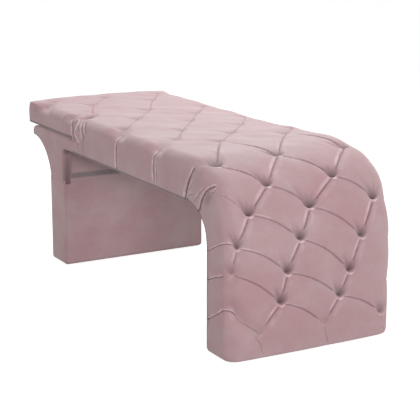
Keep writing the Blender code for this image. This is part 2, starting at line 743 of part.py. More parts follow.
def make_side(side, word):
    """One side of the bed: the plywood profile, its wrapped padding and the cheek's inner facing."""
    def between(near, far):
        return sorted((side * near, side * far))

    rail_inset = EDGE_PADDING + SEAT_GAP
    rail = outline_solid(
        f"side_rail_{word}",
        side_outline(RAIL_SUNK, rail_inset, HEM_HEIGHT),
        *between(Y_RAIL_IN, Y_RAIL_OUT - SEAT_GAP),
        PLYWOOD,
    )
    pad = outline_solid(
        f"side_pad_{word}",
        side_outline(DECK_SUNK, 0, HEM_HEIGHT),
        *between(Y_RAIL_IN, WIDTH / 2),
        VELVET,
    )
    pocket = outline_solid(
        f"rail_pocket_{word}",
        side_outline(CUSHION_DEPTH - OVERRUN, EDGE_PADDING, HEM_HEIGHT - OVERRUN),
        *between(Y_RAIL_IN - OVERRUN, Y_RAIL_OUT),
    )
    cut(pad, pocket)
    cut(pad, pleat_cutters(side, word))
    centre = (X_SUPPORT_TIP, Z_FLARE)
    facing_radius = PANEL_FRONT_RADIUS + SEAT_GAP
    low = flare_angle(LEG_TOP + SEAT_GAP, facing_radius)
    high = flare_angle(HEIGHT - UNDER_SUNK, facing_radius)
    facing = arc(centre, facing_radius, low, high, PANEL_STEPS)
    facing += [(X_LEG_FRONT, HEIGHT - UNDER_SUNK - SEAT_GAP), (X_LEG_FRONT, LEG_TOP + SEAT_GAP)]
    outline_solid(
        f"cheek_lining_{word}",
        facing,
        *between(Y_RAIL_IN - SEAT_GAP - CHEEK_LINING, Y_RAIL_IN - SEAT_GAP),
        VELVET,
    )
    return rail


def make_deck():
    """The flat board, the bent panel round the foot, the battens under them and the lining below."""
    y_out = Y_RAIL_OUT - SEAT_GAP
    x_head = X_HINGE + HINGE_GAP / 2 + EDGE_PADDING + SEAT_GAP
    z_top, z_low = HEIGHT - DECK_SUNK, HEIGHT - DECK_SUNK - BOARD
    joint = BATTEN / 2
    x_board = X_BEND - joint - SEAT_GAP
    board = box("span_board", (x_head, -y_out, z_low), (x_board, y_out, z_top), PLYWOOD)
    x_notch = X_HINGE + ARM_REACH + ARM_ROUND + POCKET_GAP
    y_notch = ARM_IN - BOLT_HEAD - POCKET_GAP
    for side, word in SIDES:
        y_low, y_high = sorted((side * y_notch, side * WIDTH / 2))
        low, high = (x_head - OVERRUN, y_low, z_low - OVERRUN), (x_notch, y_high, z_top + OVERRUN)
        cut(board, box(f"board_notch_{word}", low, high))
    bend_end = Z_BEND + BEND_RUN
    panel = layer_outline(DECK_SUNK, DECK_SUNK + BOARD, HEM_HEIGHT, bend_end + joint)
    outline_solid("curve_panel", panel, -y_out, y_out, PLYWOOD)

    z_batten = HEIGHT - UNDER_SUNK + LINING + SEAT_GAP
    z_under_board = HEIGHT - RAIL_SUNK
    first, last = x_notch + BATTEN / 2, X_BEND - joint
    for number in range(BATTEN_COUNT_SPAN + 1):
        x = first + (last - first) * number / BATTEN_COUNT_SPAN
        low, high = (x - BATTEN / 2, -Y_BATTEN, z_batten), (x + BATTEN / 2, Y_BATTEN, z_under_board)
        box(f"cross_rail_{number + 1}", low, high, TIMBER, TIMBER_ROUND)

    facet = BEND_RUN / BEND_STEPS
    run = Z_BEND + (BEND_STEPS // 2 + HALF_SHARE) * facet
    (x, z), (out_x, out_z) = crown(run)
    radius = (BEND_RADIUS - RAIL_SUNK) * math.cos(facet / BEND_RADIUS / 2)
    along = Vector((-out_z, out_x)) * BATTEN / 2
    top = Vector((X_BEND, Z_BEND)) + Vector((out_x, out_z)) * radius
    low = top - Vector((out_x, out_z)) * CURVE_BATTEN_DEPTH
    outline = (top - along, top + along, low + along, low - along)
    outline_solid("cross_rail_bend", outline, -Y_BATTEN, Y_BATTEN, TIMBER, TIMBER_ROUND)

    x_in, x_out = X_FOOT - UNDER_SUNK + KNEE_PADDING + SEAT_GAP, X_FOOT - RAIL_SUNK
    z_upper = Z_BEND - FOOT_BATTEN_DROP - BATTEN
    for name, z in (("foot_rail_upper", z_upper), ("foot_rail_lower", HEM_HEIGHT)):
        box(name, (x_in, -Y_BATTEN, z), (x_out, Y_BATTEN, z + BATTEN), TIMBER, TIMBER_ROUND)

    knee = layer_outline(UNDER_SUNK - KNEE_PADDING, UNDER_SUNK, HEM_HEIGHT, bend_end)
    outline_solid("knee_facing", knee, -Y_BATTEN, Y_BATTEN, VELVET)
    z_lining = HEIGHT - UNDER_SUNK
    x_end = X_SUPPORT_TIP + math.sqrt(PANEL_FRONT_RADIUS**2 - (z_lining - Z_FLARE) ** 2) + SEAT_GAP
    low, high = (x_end, -Y_BATTEN, z_lining), (X_BEND - SEAT_GAP, Y_BATTEN, z_lining + LINING)
    box("dust_lining", low, high, NON_WOVEN)


def panel_layer(name, radius_in, radius_out, z_low, z_high, surface):
    """A curved layer of the head support's panel, between the two cheeks."""
    centre = (X_SUPPORT_TIP, Z_FLARE)
    outline = []
    for radius, ends in ((radius_in, (z_low, z_high)), (radius_out, (z_high, z_low))):
        start, end = (flare_angle(z, radius) for z in ends)
        outline += arc(centre, radius, start, end, PANEL_STEPS)
    return outline_solid(name, outline, -Y_BATTEN, Y_BATTEN, surface)


def make_head_support():
    """Between the cheeks: the curved panel with its two facings, the padded top and the cleat on the leg."""
    z_foot = LEG_TOP + SEAT_GAP
    z_pad = SUPPORT_TOP - DECK_PADDING
    z_board = z_pad - SEAT_GAP - DECK_BOARD
    back, board = FLARE_RADIUS + PANEL_BACK_PADDING, PANEL_BOARD_RADIUS
    panel_layer("head_back_facing", FLARE_RADIUS, back, z_foot, Z_FLARE + back, VELVET)
    panel_layer("head_panel", back + SEAT_GAP, board, z_foot, Z_FLARE + board, PLYWOOD)
    front_in = PANEL_FRONT_RADIUS - PANEL_FRONT_PADDING
    panel_layer("head_front_facing", front_in, PANEL_FRONT_RADIUS, z_foot, HEIGHT - UNDER_SUNK, VELVET)

    x_tip, x_end = X_SUPPORT_TIP, X_HINGE + HINGE_GAP / 2 + EDGE_PADDING
    z_nose = Z_FLARE + board + SEAT_GAP
    nose_high = (x_tip + BATTEN, Y_BATTEN, z_board - SEAT_GAP)
    box("head_nose_rail", (x_tip, -Y_BATTEN, z_nose), nose_high, TIMBER)
    box("head_deck", (x_tip, -Y_BATTEN, z_board), (x_end, Y_BATTEN, z_pad - SEAT_GAP), PLYWOOD)
    pad_high = (X_HINGE + HINGE_GAP / 2, Y_BATTEN, SUPPORT_TOP)
    box("head_deck_padding", (x_tip, -Y_BATTEN, z_pad), pad_high, VELVET, PAD_CORNER_ROUND)


def make_leg():
    """The slab under the head: its padded cover, the box frame inside and the bolts up to the cleat."""
    shoulder = CHEEK_BOTTOM - SEAT_GAP
    half = WIDTH / 2
    low, high = (X_LEG_BACK, -half, HEM_HEIGHT), (X_LEG_FRONT, half, shoulder)
    cover = box("leg_cover", low, high, VELVET, LEG_ROUND)
    tenon_low = (X_LEG_BACK + TENON_INSET, -Y_BATTEN, HEM_HEIGHT + OVERRUN)
    tenon_high = (X_LEG_FRONT - TENON_INSET, Y_BATTEN, LEG_TOP)
    cut(cover, box("leg_tenon", tenon_low, tenon_high), "UNION")
    x_low, x_high = X_LEG_BACK + LEG_PADDING, X_LEG_FRONT - LEG_PADDING
    y = half - LEG_PADDING
    y_rail = Y_BATTEN - LEG_PADDING
    z_shoulder, z_tenon = shoulder - LEG_PADDING, LEG_TOP - LEG_TOP_PADDING
    z_below = HEM_HEIGHT - OVERRUN
    cut(cover, box("leg_hollow", (x_low, -y, z_below), (x_high, y, z_shoulder)))
    cut(cover, box("tenon_hollow", (x_low, -y_rail, z_below), (x_high, y_rail, z_tenon)))

    x_low, x_high, y = x_low + SEAT_GAP, x_high - SEAT_GAP, y - SEAT_GAP
    z_shoulder, z_tenon, y_rail = z_shoulder - SEAT_GAP, z_tenon - SEAT_GAP, y_rail - SEAT_GAP
    x_back, x_front = x_low + LEG_FACE_BOARD, x_high - LEG_FACE_BOARD
    box("leg_board_back", (x_low, -y, HEM_HEIGHT), (x_back, y, z_shoulder), PLYWOOD)
    box("leg_board_front", (x_front, -y, HEM_HEIGHT), (x_high, y, z_shoulder), PLYWOOD)
    x_back, x_front = x_back + SEAT_GAP, x_front - SEAT_GAP
    z_rail = z_tenon - LEG_RAIL_HEIGHT
    y_post = y - LEG_POST
    for side, word in SIDES:
        low, high = sorted((side * y, side * y_post))
        post_high = (x_front, high, z_rail - SEAT_GAP)
        box(f"leg_post_{word}", (x_back, low, HEM_HEIGHT), post_high, TIMBER, TIMBER_ROUND)
    y_low = y_post - SEAT_GAP
    rail_low, rail_high = (x_back, -y_rail, z_rail), (x_front, y_rail, z_tenon)
    top_rail = box("leg_rail_top", rail_low, rail_high, TIMBER, TIMBER_ROUND)
    bottom = HEM_HEIGHT + LEG_RAIL_HEIGHT
    rail_low, rail_high = (x_back, -y_low, HEM_HEIGHT), (x_front, y_low, bottom)
    box("leg_rail_bottom", rail_low, rail_high, TIMBER, TIMBER_ROUND)

    z_cleat = LEG_TOP + SEAT_GAP
    radius = PANEL_BOARD_RADIUS + SEAT_GAP
    x_cleat = X_SUPPORT_TIP + math.sqrt(radius**2 - (z_cleat - Z_FLARE) ** 2)
    cleat_high = (x_cleat + BATTEN, Y_BATTEN, z_cleat + BATTEN)
    cleat = box("head_cleat", (x_cleat, -Y_BATTEN, z_cleat), cleat_high, TIMBER, TIMBER_ROUND)
    x_bolt, z_bolt = x_cleat + BATTEN / 2, z_cleat + BATTEN + SEAT_GAP
    y_end = Y_BATTEN - LEG_BOLT_INSET
    for number in range(LEG_BOLT_COUNT):
        y_bolt = -y_end + 2 * y_end * number / (LEG_BOLT_COUNT - 1)
        profile = (
            (0, COACH_BOLT_HEAD),
            (COACH_BOLT_HEAD_RADIUS / 2, COACH_BOLT_HEAD),
            (COACH_BOLT_HEAD_RADIUS, 0),
            (COACH_BOLT_RADIUS, 0),
            (COACH_BOLT_RADIUS, -COACH_BOLT_LENGTH),
            (0, -COACH_BOLT_LENGTH),
        )
        turned(f"leg_bolt_{number + 1}", profile, (x_bolt, y_bolt, z_bolt), surface=STEEL)
        bm = bmesh.new()
        radius, depth = COACH_BOLT_RADIUS + SEAT_GAP, COACH_BOLT_LENGTH + SEAT_GAP + OVERRUN
        bmesh.ops.create_cone(
            bm, cap_ends=True, segments=ROUND_SIDES, radius1=radius, radius2=radius, depth=depth
        )
        z_hole = z_bolt + OVERRUN - depth / 2
        hole = add_object(f"leg_bolt_hole_{number + 1}", bm, (x_bolt, y_bolt, z_hole))
        for drilled in (cleat, cover, top_rail):
            cut(drilled, hole)


def make_glides():
    """Round plastic glides nailed under the foot and the leg."""
    thickness = HEM_HEIGHT - SEAT_GAP
    profile = (
        (0, thickness),
        (GLIDE_RADIUS, thickness),
        (GLIDE_RADIUS, GLIDE_EDGE),
        (GLIDE_RADIUS - GLIDE_EDGE, 0),
        (0, 0),
    )
    x_foot = X_FOOT - (RAIL_SUNK + UNDER_SUNK - KNEE_PADDING) / 2
    x_leg = (X_LEG_BACK + X_LEG_FRONT) / 2
    y_leg = WIDTH / 2 - LEG_PADDING - LEG_POST / 2
    for side, word in SIDES:
        turned(f"glide_foot_{word}", profile, (x_foot, side * (Y_BATTEN - GLIDE_INSET), 0), surface=PLASTIC)
        turned(f"glide_leg_{word}", profile, (x_leg, side * y_leg, 0), surface=PLASTIC)


def main():
    pivot = bpy.data.objects.new("headrest_pivot", None)
    pivot.location = (X_HINGE, 0, Z_PIVOT)
    PARTS.objects.link(pivot)
    make_main_cushion()
    for side, word in SIDES:
        rail = make_side(side, word)
        make_hinge(side, word, rail)
    make_deck()
    make_head_support()
    make_leg()
    make_glides()
    make_headrest(pivot)
    bpy.context.view_layer.update()


main()
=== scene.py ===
"""Looks of the eyelash extension bed: the velvet covers, linings, finishes, light and camera.

Metres, +Z up, the foot at +X and the head at -X, left is -Y. A place on the quilted cover is given
by its run, the distance along the crown from the floor up the foot, round the bend and to the head,
and by its across, the distance from the middle line over the edge and down the side.
"""

import math
from collections import namedtuple
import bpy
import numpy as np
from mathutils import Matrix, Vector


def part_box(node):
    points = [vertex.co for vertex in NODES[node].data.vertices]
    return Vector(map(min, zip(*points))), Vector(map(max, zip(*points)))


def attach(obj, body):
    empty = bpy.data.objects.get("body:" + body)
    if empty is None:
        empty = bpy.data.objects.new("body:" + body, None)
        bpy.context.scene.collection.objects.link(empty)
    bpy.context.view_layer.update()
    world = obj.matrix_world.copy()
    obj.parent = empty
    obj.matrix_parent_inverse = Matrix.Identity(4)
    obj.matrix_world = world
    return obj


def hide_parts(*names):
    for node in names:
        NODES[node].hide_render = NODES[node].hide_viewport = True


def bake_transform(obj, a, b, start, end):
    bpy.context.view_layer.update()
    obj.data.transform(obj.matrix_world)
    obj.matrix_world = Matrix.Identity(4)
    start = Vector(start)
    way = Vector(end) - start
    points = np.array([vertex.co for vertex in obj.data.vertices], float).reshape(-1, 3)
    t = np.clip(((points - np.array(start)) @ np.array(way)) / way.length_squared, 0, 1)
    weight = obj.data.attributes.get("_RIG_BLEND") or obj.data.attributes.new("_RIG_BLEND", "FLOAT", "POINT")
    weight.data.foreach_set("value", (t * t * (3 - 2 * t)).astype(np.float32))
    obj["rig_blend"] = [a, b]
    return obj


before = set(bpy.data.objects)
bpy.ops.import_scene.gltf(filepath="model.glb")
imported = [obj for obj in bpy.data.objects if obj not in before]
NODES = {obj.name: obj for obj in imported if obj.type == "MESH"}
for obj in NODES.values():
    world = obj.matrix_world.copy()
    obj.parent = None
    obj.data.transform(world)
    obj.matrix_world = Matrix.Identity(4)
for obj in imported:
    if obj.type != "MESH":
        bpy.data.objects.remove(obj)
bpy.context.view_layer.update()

from types import SimpleNamespace

import bmesh
import bpy
import numpy as np
from mathutils import Vector
from mathutils.geometry import delaunay_2d_cdt

# Sizes read from the frame
SHELL_LOW, SHELL_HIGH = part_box("main_cushion")
HEAD_LOW, HEAD_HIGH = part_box("headrest_cushion")
LEG_LOW, LEG_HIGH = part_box("leg_cover")
DECK_LOW, DECK_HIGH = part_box("head_deck_padding")
X_CHEEK_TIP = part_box("side_pad_left")[0].x
Z_BACK_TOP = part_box("head_back_facing")[1].z
HALF = SHELL_HIGH.y
TOP = SHELL_HIGH.z
X_FOOT = SHELL_HIGH.x
X_TIP = HEAD_LOW.x
HEM = SHELL_LOW.z
X_HINGE = (SHELL_LOW.x + HEAD_HIGH.x) / 2

# Sizes of the quilted cover
BEND_RADIUS = 0.330
SHELL_DEPTH = 0.165
HEAD_DEPTH = TOP - HEAD_LOW.z
EDGE_ROUND = 0.045
LOWER_ROUND = 0.007
TIP_TOP_ROUND = 0.008
TIP_CORNER_ROUND = 0.009
HEM_ROUND = 0.006
CROWN = 0.005
BEND_PUFF = 0.009
SIDE_PUFF = 0.003
FOOT_PUFF = 0.007
RAIL_IN = 0.3177
UNDER_RISE = 0.007
WALL_SINK = 0.012

X_BEND = X_FOOT - BEND_RADIUS
Z_BEND = TOP - BEND_RADIUS
BEND_RUN = BEND_RADIUS * math.pi / 2
RUN_AT_ZERO = Z_BEND + BEND_RUN + X_BEND
RUN_HINGE = RUN_AT_ZERO - X_HINGE
RUN_TIP = RUN_AT_ZERO - X_TIP
FLAT = HALF - EDGE_ROUND
WALL = FLAT + EDGE_ROUND * math.pi / 2
MERGED_DROP = HEAD_DEPTH - LOWER_ROUND
# How far apart the points of a fold's line and of the cover's outline lie
LINE_STEP = 0.004
COVER_STEP = 0.006

# Sizes of the cheeks of the head support
CHEEK_TOP = HEAD_LOW.z - 0.0028
CHEEK_UNDER = TOP - SHELL_DEPTH
CHEEK_BOTTOM = 0.375
FLARE_RADIUS = 0.200
FLARE_Z = HEAD_LOW.z - 0.053 - FLARE_RADIUS
CHEEK_FILLET = 0.030
CHEEK_FACE_RING = 0.002
TOP_ROUND, FLARE_ROUND, BOTTOM_ROUND, FRONT_ROUND = 0.012, 0.014, 0.008, 0.020
# The cheek's upper corner at the tip: how far in from the tip and how far below the top
CHEEK_NOSE = ((0.070, 0.0), (0.042, 0.002), (0.018, 0.006), (0.006, 0.012), (0.0, 0.022))

# Sizes of the other pads
DECK_WRAP = 0.0035
DECK_ROUND = 0.003
DECK_LAP = 0.002
PANEL_STRIP = 0.035
LEG_STRIP = 0.02
LEG_ROUND = 0.014
LEG_END_CROWN = 0.003
LEG_SIDE_CROWN = 0.002

# Bulges of the far edge, and of the near one: run, spread and height
FAR_BULGES = ((0.95, 0.17, 0.015), (0.67, 0.11, 0.021), (1.19, 0.08, 0.010))
NEAR_BULGES = ((0.95, 0.17, 0.005),)
# Tufts: run, then the places across the bed
TUFT_ROWS = (
    ((0.097, -0.226), (0.090, 0.051), (0.092, 0.312)),
    ((0.197, -0.136), (0.186, 0.120)),
    ((0.330, -0.350), (0.307, -0.110), (0.276, 0.162)),
    ((0.424, -0.315), (0.426, -0.055), (0.403, 0.212)),
    ((0.538, -0.250), (0.538, 0.005), (0.538, 0.283)),
    ((0.640, -0.140), (0.640, 0.140)),
    ((0.768, -0.284), (0.795, -0.010), (0.785, 0.280)),
    ((1.087, -0.087), (1.087, 0.211)),
    ((1.215, -0.206), (1.215, 0.039), (1.165, 0.295)),
    ((1.370, -0.101), (1.370, 0.175)),
    ((1.540, -0.270), (1.540, 0.033), (1.540, 0.298)),
    ((1.705, -0.132), (1.705, 0.150)),
    ((1.870, -0.270), (1.870, 0.005), (1.870, 0.280)),
    ((2.125, -0.150), (2.125, 0.148)),
    ((2.300, -0.258), (2.300, -0.002), (2.300, 0.270)),
)
FOLD_LONGEST = 0.27

# Pleats that leave a tuft, go over the edge and down the side: the tuft, then run and drop
LEFT_PLEATS = (
    ((0.097, -0.226), ((0.192, 0.026), (0.168, 0.090), (0.132, 0.156))),
    ((0.330, -0.350), ((0.322, 0.040), (0.299, 0.114), (0.280, 0.156))),
    ((0.424, -0.315), ((0.448, 0.040), (0.430, 0.111), (0.404, 0.156))),
    ((1.215, -0.206), ((1.156, 0.014), (1.155, 0.061), (1.152, 0.140))),
    ((1.540, -0.270), ((1.488, 0.012), (1.486, 0.060), (1.482, 0.152))),
    ((1.870, -0.270), ((1.936, 0.020), (1.930, 0.045), (1.924, 0.085))),
)
RIGHT_PLEATS = (
    ((0.276, 0.162), ((0.222, 0.014), (0.206, 0.060), (0.190, 0.140))),
    ((0.403, 0.212), ((0.380, 0.014), (0.372, 0.060), (0.360, 0.140))),
    ((0.538, 0.283), ((0.534, 0.014), (0.530, 0.060), (0.520, 0.140))),
    ((0.640, 0.140), ((0.690, 0.014), (0.700, 0.060), (0.704, 0.130))),
    ((0.785, 0.280), ((0.817, 0.014), (0.840, 0.060), (0.870, 0.146))),
    ((1.165, 0.295), ((1.150, 0.014), (1.146, 0.060), (1.150, 0.140))),
    ((1.540, 0.298), ((1.485, 0.014), (1.480, 0.060), (1.486, 0.148))),
    ((1.870, 0.280), ((1.799, 0.014), (1.794, 0.060), (1.790, 0.120))),
    ((2.300, 0.270), ((2.338, 0.014), (2.344, 0.050), (2.346, 0.088))),
)
# A soft notch in the left edge near the head: run and drop
HEAD_NOTCH = ((2.262, 0.008), (2.250, 0.030), (2.244, 0.080))
# The two deep folds in the side at the bend: run and drop
KNEE_FOLDS = (
    (
        (0.684, 0.014), (0.688, 0.022), (0.694, 0.036), (0.706, 0.072),
        (0.711, 0.103), (0.708, 0.135), (0.702, 0.156),
    ),
    ((0.838, 0.026), (0.842, 0.046), (0.853, 0.066), (0.878, 0.103), (0.894, 0.129), (0.899, 0.153)),
)
# Small wrinkles in the side at the bend, which run together at the knee
KNEE_WRINKLES = (
    ((0.820, 0.066), (0.838, 0.097), (0.876, 0.123)),
    ((0.804, 0.120), (0.848, 0.135), (0.892, 0.153)),
    ((0.718, 0.055), (0.744, 0.097), (0.776, 0.145)),
    ((0.668, 0.019), (0.664, 0.026), (0.676, 0.042)),
)
# Folds that stay on the face: hem folds, and the fold up to the tuft on the edge
FACE_FOLDS = (
    ((0.097, -0.226), (0.086, -0.243), (0.062, -0.224), (0.014, -0.212)),
    ((0.090, 0.051), (0.060, 0.057), (0.012, 0.068)),
    ((0.092, 0.312), (0.050, 0.322), (0.012, 0.334)),
    ((0.538, -0.250), (0.585, -0.292), (0.640, -0.335)),
    ((0.097, -0.226), (0.150, -0.296), (0.182, -0.332)),
    ((0.424, -0.315), (0.330, -0.350)),
)
# Gathers in the side beside the hinge: which way the lip lies, run and drop of the points
LEFT_GATHERS = (
    ("head", ((1.932, 0.018), (1.921, 0.046), (1.920, 0.086))),
    (
        "foot",
        ((1.900, 0.016), (1.898, 0.044), (1.905, 0.068), (1.896, 0.086), (1.869, 0.104), (1.842, 0.122)),
    ),
    ("head", ((1.868, 0.016), (1.856, 0.040), (1.858, 0.066))),
    ("head", ((1.836, 0.014), (1.814, 0.038), (1.806, 0.067), (1.800, 0.096))),
    ("head", ((1.806, 0.015), (1.782, 0.038), (1.766, 0.064))),
    ("soft", ((1.128, 0.030), (1.128, 0.085), (1.131, 0.146))),
)
RIGHT_GATHERS = (
    ("soft", ((1.905, 0.016), (1.910, 0.045), (1.906, 0.088))),
    ("soft", ((1.872, 0.014), (1.866, 0.040), (1.872, 0.070))),
    ("soft", ((1.842, 0.014), (1.832, 0.045), (1.828, 0.100))),
    ("soft", ((1.812, 0.012), (1.800, 0.036), (1.796, 0.060))),
)
# Soft hollows on the left: run and across, how far they spread each way, and how much painted shade they get,
# which also sets how deep they sink
HOLLOWS = (
    (0.668, -0.400, 0.030, 0.036, 0.50),
    (1.884, -0.284, 0.034, 0.011, 0.42),
    (1.800, -0.430, 0.014, 0.055, 0.30),
    (1.897, -0.432, 0.016, 0.018, 0.42),
    (1.868, -0.345, 0.020, 0.014, 0.30),
)


def crown(run):
    """Points of the crown at runs: x, z and the outward direction there."""
    angle = np.clip((run - Z_BEND) / BEND_RADIUS, 0, math.pi / 2)
    out_x, out_z = np.cos(angle), np.sin(angle)
    x = X_BEND + BEND_RADIUS * out_x - np.maximum(run - Z_BEND - BEND_RUN, 0)
    z = Z_BEND + BEND_RADIUS * out_z - np.maximum(Z_BEND - run, 0)
    return x, z, out_x, out_z


def reach_at(drop):
    """The across at which the cover lies that far below the crown, on the edge or the side."""
    if drop >= EDGE_ROUND:
        return WALL + drop - EDGE_ROUND
    return FLAT + EDGE_ROUND * math.acos((EDGE_ROUND - max(drop, CROWN)) / (EDGE_ROUND - CROWN))


def reaches(depth):
    """Where the side wall, the lower round and the strip under the side end."""
    wall_end = reach_at(depth - LOWER_ROUND)
    arc_end = wall_end + LOWER_ROUND * math.pi / 2
    return wall_end, arc_end, arc_end + HALF - LOWER_ROUND - RAIL_IN


def section(across, depth, square=0.0):
    """Across the bed: y, how far it drops, and the outward direction as shares of y and of up.

    The rounded upper edge may be squared, from 0 to 1.
    """
    side, reach = np.sign(across), np.abs(across)
    wall_end = WALL - EDGE_ROUND + depth - LOWER_ROUND
    arc_end = wall_end + LOWER_ROUND * math.pi / 2
    edge = np.clip((reach - FLAT) / EDGE_ROUND, 0, math.pi / 2)
    lower = np.clip((reach - wall_end) / LOWER_ROUND, 0, math.pi / 2)
    under = np.maximum(reach - arc_end, 0)
    out = np.sin(edge) * np.cos(lower)
    up = np.cos(edge) - np.sin(lower)
    slant = np.tan(np.clip(edge, 1e-6, math.pi / 2 - 1e-6))
    aside = np.sin(edge) + square * (np.minimum(slant, 1) - np.sin(edge))
    fall = 1 - np.cos(edge) + square * (np.cos(edge) - np.minimum(1 / slant, 1))
    y = np.minimum(reach, FLAT) + EDGE_ROUND * aside - LOWER_ROUND * (1 - np.cos(lower)) - under
    drop = CROWN * np.minimum(reach / FLAT, 1) ** 2 * np.cos(edge) + EDGE_ROUND * fall
    drop += np.clip(reach - WALL, 0, wall_end - WALL) + LOWER_ROUND * np.sin(lower)
    return side * y, drop, side * out, up


def end_sunk(run, up):
    """How far the hem and the rounded head tip sink a point, on top, on the sides and underneath."""
    above, below = np.maximum(up, 0), np.maximum(-up, 0)
    tip = TIP_TOP_ROUND * above + TIP_CORNER_ROUND * (1 - above - below) + LOWER_ROUND * below
    sunk = 0
    for rounding, left in ((HEM_ROUND, run - HEM), (tip, RUN_TIP - run)):
        short = np.clip(rounding - left, 0, rounding)
        sunk = sunk + rounding - np.sqrt(np.maximum(rounding**2 - short**2, 0))
    return sunk


def smooth_line(points):
    """A smooth curve through points of run and across."""
    points = np.array(points, float)
    padded = np.vstack([2 * points[0] - points[1], points, 2 * points[-1] - points[-2]])
    curve = []
    for a, b, c, d in zip(padded, padded[1:], padded[2:], padded[3:]):
        steps = max(2, round(float(np.linalg.norm(c - b)) / LINE_STEP))
        t = np.linspace(0, 1, steps, endpoint=False)[:, None]
        square, cube = 2 * a - 5 * b + 4 * c - d, 3 * b - a - 3 * c + d
        curve.append(0.5 * (2 * b + (c - a) * t + square * t**2 + cube * t**3))
    return np.vstack([*curve, points[-1:]])


def towards_head(chord):
    """A chord turned square to itself, so that it points up the bed."""
    return np.array((abs(chord[1]), -chord[0] * math.copysign(1, chord[1])))


def bulged(start, end):
    """A fold between two tufts: a curve that bulges up the bed, more where it falls to the right."""
    start, end = np.array(start), np.array(end)
    chord = end - start
    share = 0.085 if chord[1] < 0 else 0.018
    t = np.linspace(0, 1, max(6, round(float(np.linalg.norm(chord)) / LINE_STEP)))[:, None]
    return start + chord * t + 4 * share * t**1.2 * (1 - t) * towards_head(chord)


# One side of a fold: how wide its crease is, how high the lip beside it, how deep and wide the slope to
# it, and how bright the painted highlight beside it is, how far off and how wide
Side = namedtuple("Side", "width lip slope slope_width catch off band", defaults=(0.0, 1, 1))
# A fold: how deep its crease is, how far from its start and its end it is fully there, how much painted
# shade its crease gets, how far it draws in the edge of the bed, and its sides towards the head and towards
# the foot
Fold = namedtuple("Fold", "depth clear dark draw upper lower")

SCALE_FOLD = Fold(
    0.0050, (0.050, 0.024), 0.50, 0,
    Side(0.0022, 0.0018, 0.0010, 0.014, 0.60, 0.0042, 0.0024),
    Side(0.0030, 0.0004, 0.0026, 0.022),
)
TUCK_FOLD = Fold(
    0.0055, (0.048, 0.022), 0.60, 0,
    Side(0.0028, 0.0002, 0.0050, 0.020, 0.60, 0.0095, 0.0075),
    Side(0.0020, 0.0014, 0.0012, 0.020, 0.26, 0.017, 0.014),
)
FACE_FOLD = Fold(
    0.0024, (0.018, 0.012), 0.20, 0,
    Side(0.0030, 0.0010, 0.0016, 0.016, 0.35, 0.0055, 0.003),
    Side(0.0034, 0.0006, 0.0030, 0.022),
)
PLEAT = Fold(
    0.0080, (0.045, 0.002), 0.90, 0.022,
    Side(0.0024, 0.0032, 0.0030, 0.024, 0.85, 0.0052, 0.0022),
    Side(0.0026, 0.0012, 0.0040, 0.024, 0.3, 0.006, 0.0026),
)
FAR_PLEAT = Fold(
    0.0040, (0.045, 0.002), 0.50, 0.003,
    Side(0.0022, 0.0010, 0.0008, 0.016, 0.5, 0.0050, 0.0026),
    Side(0.0026, 0.0006, 0.0012, 0.016),
)
LAP = Fold(
    0.0080, (0.004, 0.004), 0.90, 0.010,
    Side(0.0019, 0.0032, 0.0010, 0.012, 1.0, 0.0040, 0.0017),
    Side(0.0050, 0.0000, 0.0060, 0.030),
)
GATHER = Fold(
    0.0052, (0.004, 0.014), 0.75, 0,
    Side(0.0034, 0.0026, 0.0010, 0.012, 0.80, 0.0072, 0.0040),
    Side(0.0050, 0.0006, 0.0010, 0.012),
)
TURNED_GATHER = Fold(
    0.0052, (0.004, 0.014), 0.75, 0,
    Side(0.0050, 0.0006, 0.0010, 0.012),
    Side(0.0034, 0.0030, 0.0010, 0.012, 0.90, 0.0076, 0.0044),
)
NOTCH = Fold(
    0.0010, (0.045, 0.002), 0.10, 0.020,
    Side(0.006, 0.0, 0.0030, 0.024),
    Side(0.006, 0.0, 0.0030, 0.024),
)
WRINKLE = Fold(
    0.0035, (0.002, 0.006), 0.50, 0,
    Side(0.0020, 0.0016, 0.0006, 0.010, 0.8, 0.0034, 0.0016),
    Side(0.0024, 0.0004, 0.0012, 0.012),
)
SHAPE_OF_GATHER = {"head": GATHER, "foot": TURNED_GATHER, "soft": WRINKLE}


def side_line(side, way, tuft=None):
    """A line down one side of the cover through points of run and drop, from a tuft where one is given."""
    points = [tuft] if tuft else []
    return smooth_line(points + [(run, side * reach_at(drop)) for run, drop in way])


def folds_between_tufts():
    """A fold from every tuft to the nearest one of the next row, on either side."""
    folds = []
    for row, following in zip(TUFT_ROWS, TUFT_ROWS[1:]):
        for tuft in row:
            for side in (-1, 1):
                near = [o for o in following if 0 <= side * (o[1] - tuft[1]) < FOLD_LONGEST]
                if near:
                    end = min(near, key=lambda o: abs(o[1] - tuft[1]))
                    folds.append((bulged(tuft, end), SCALE_FOLD if end[1] < tuft[1] else TUCK_FOLD))
    return folds


def fold_list():
    """Every fold: its points and its shape."""
    folds = folds_between_tufts()
    folds += [(smooth_line(way), FACE_FOLD) for way in FACE_FOLDS]
    folds.append((side_line(-1, HEAD_NOTCH), NOTCH))
    for side, pleats, pleat, knee, gathers in (
        (-1, LEFT_PLEATS, PLEAT, LAP, LEFT_GATHERS),
        (1, RIGHT_PLEATS, FAR_PLEAT, FAR_PLEAT, RIGHT_GATHERS),
    ):
        folds += [(side_line(side, way, tuft), pleat) for tuft, way in pleats]
        folds += [(side_line(side, way), knee) for way in KNEE_FOLDS]
        folds += [(side_line(side, way), SHAPE_OF_GATHER[lip]) for lip, way in gathers]
        folds += [(side_line(side, way), WRINKLE) for way in KNEE_WRINKLES]
    return folds


FOLDS = fold_list()
TUFTS = [tuft for row in TUFT_ROWS for tuft in row]
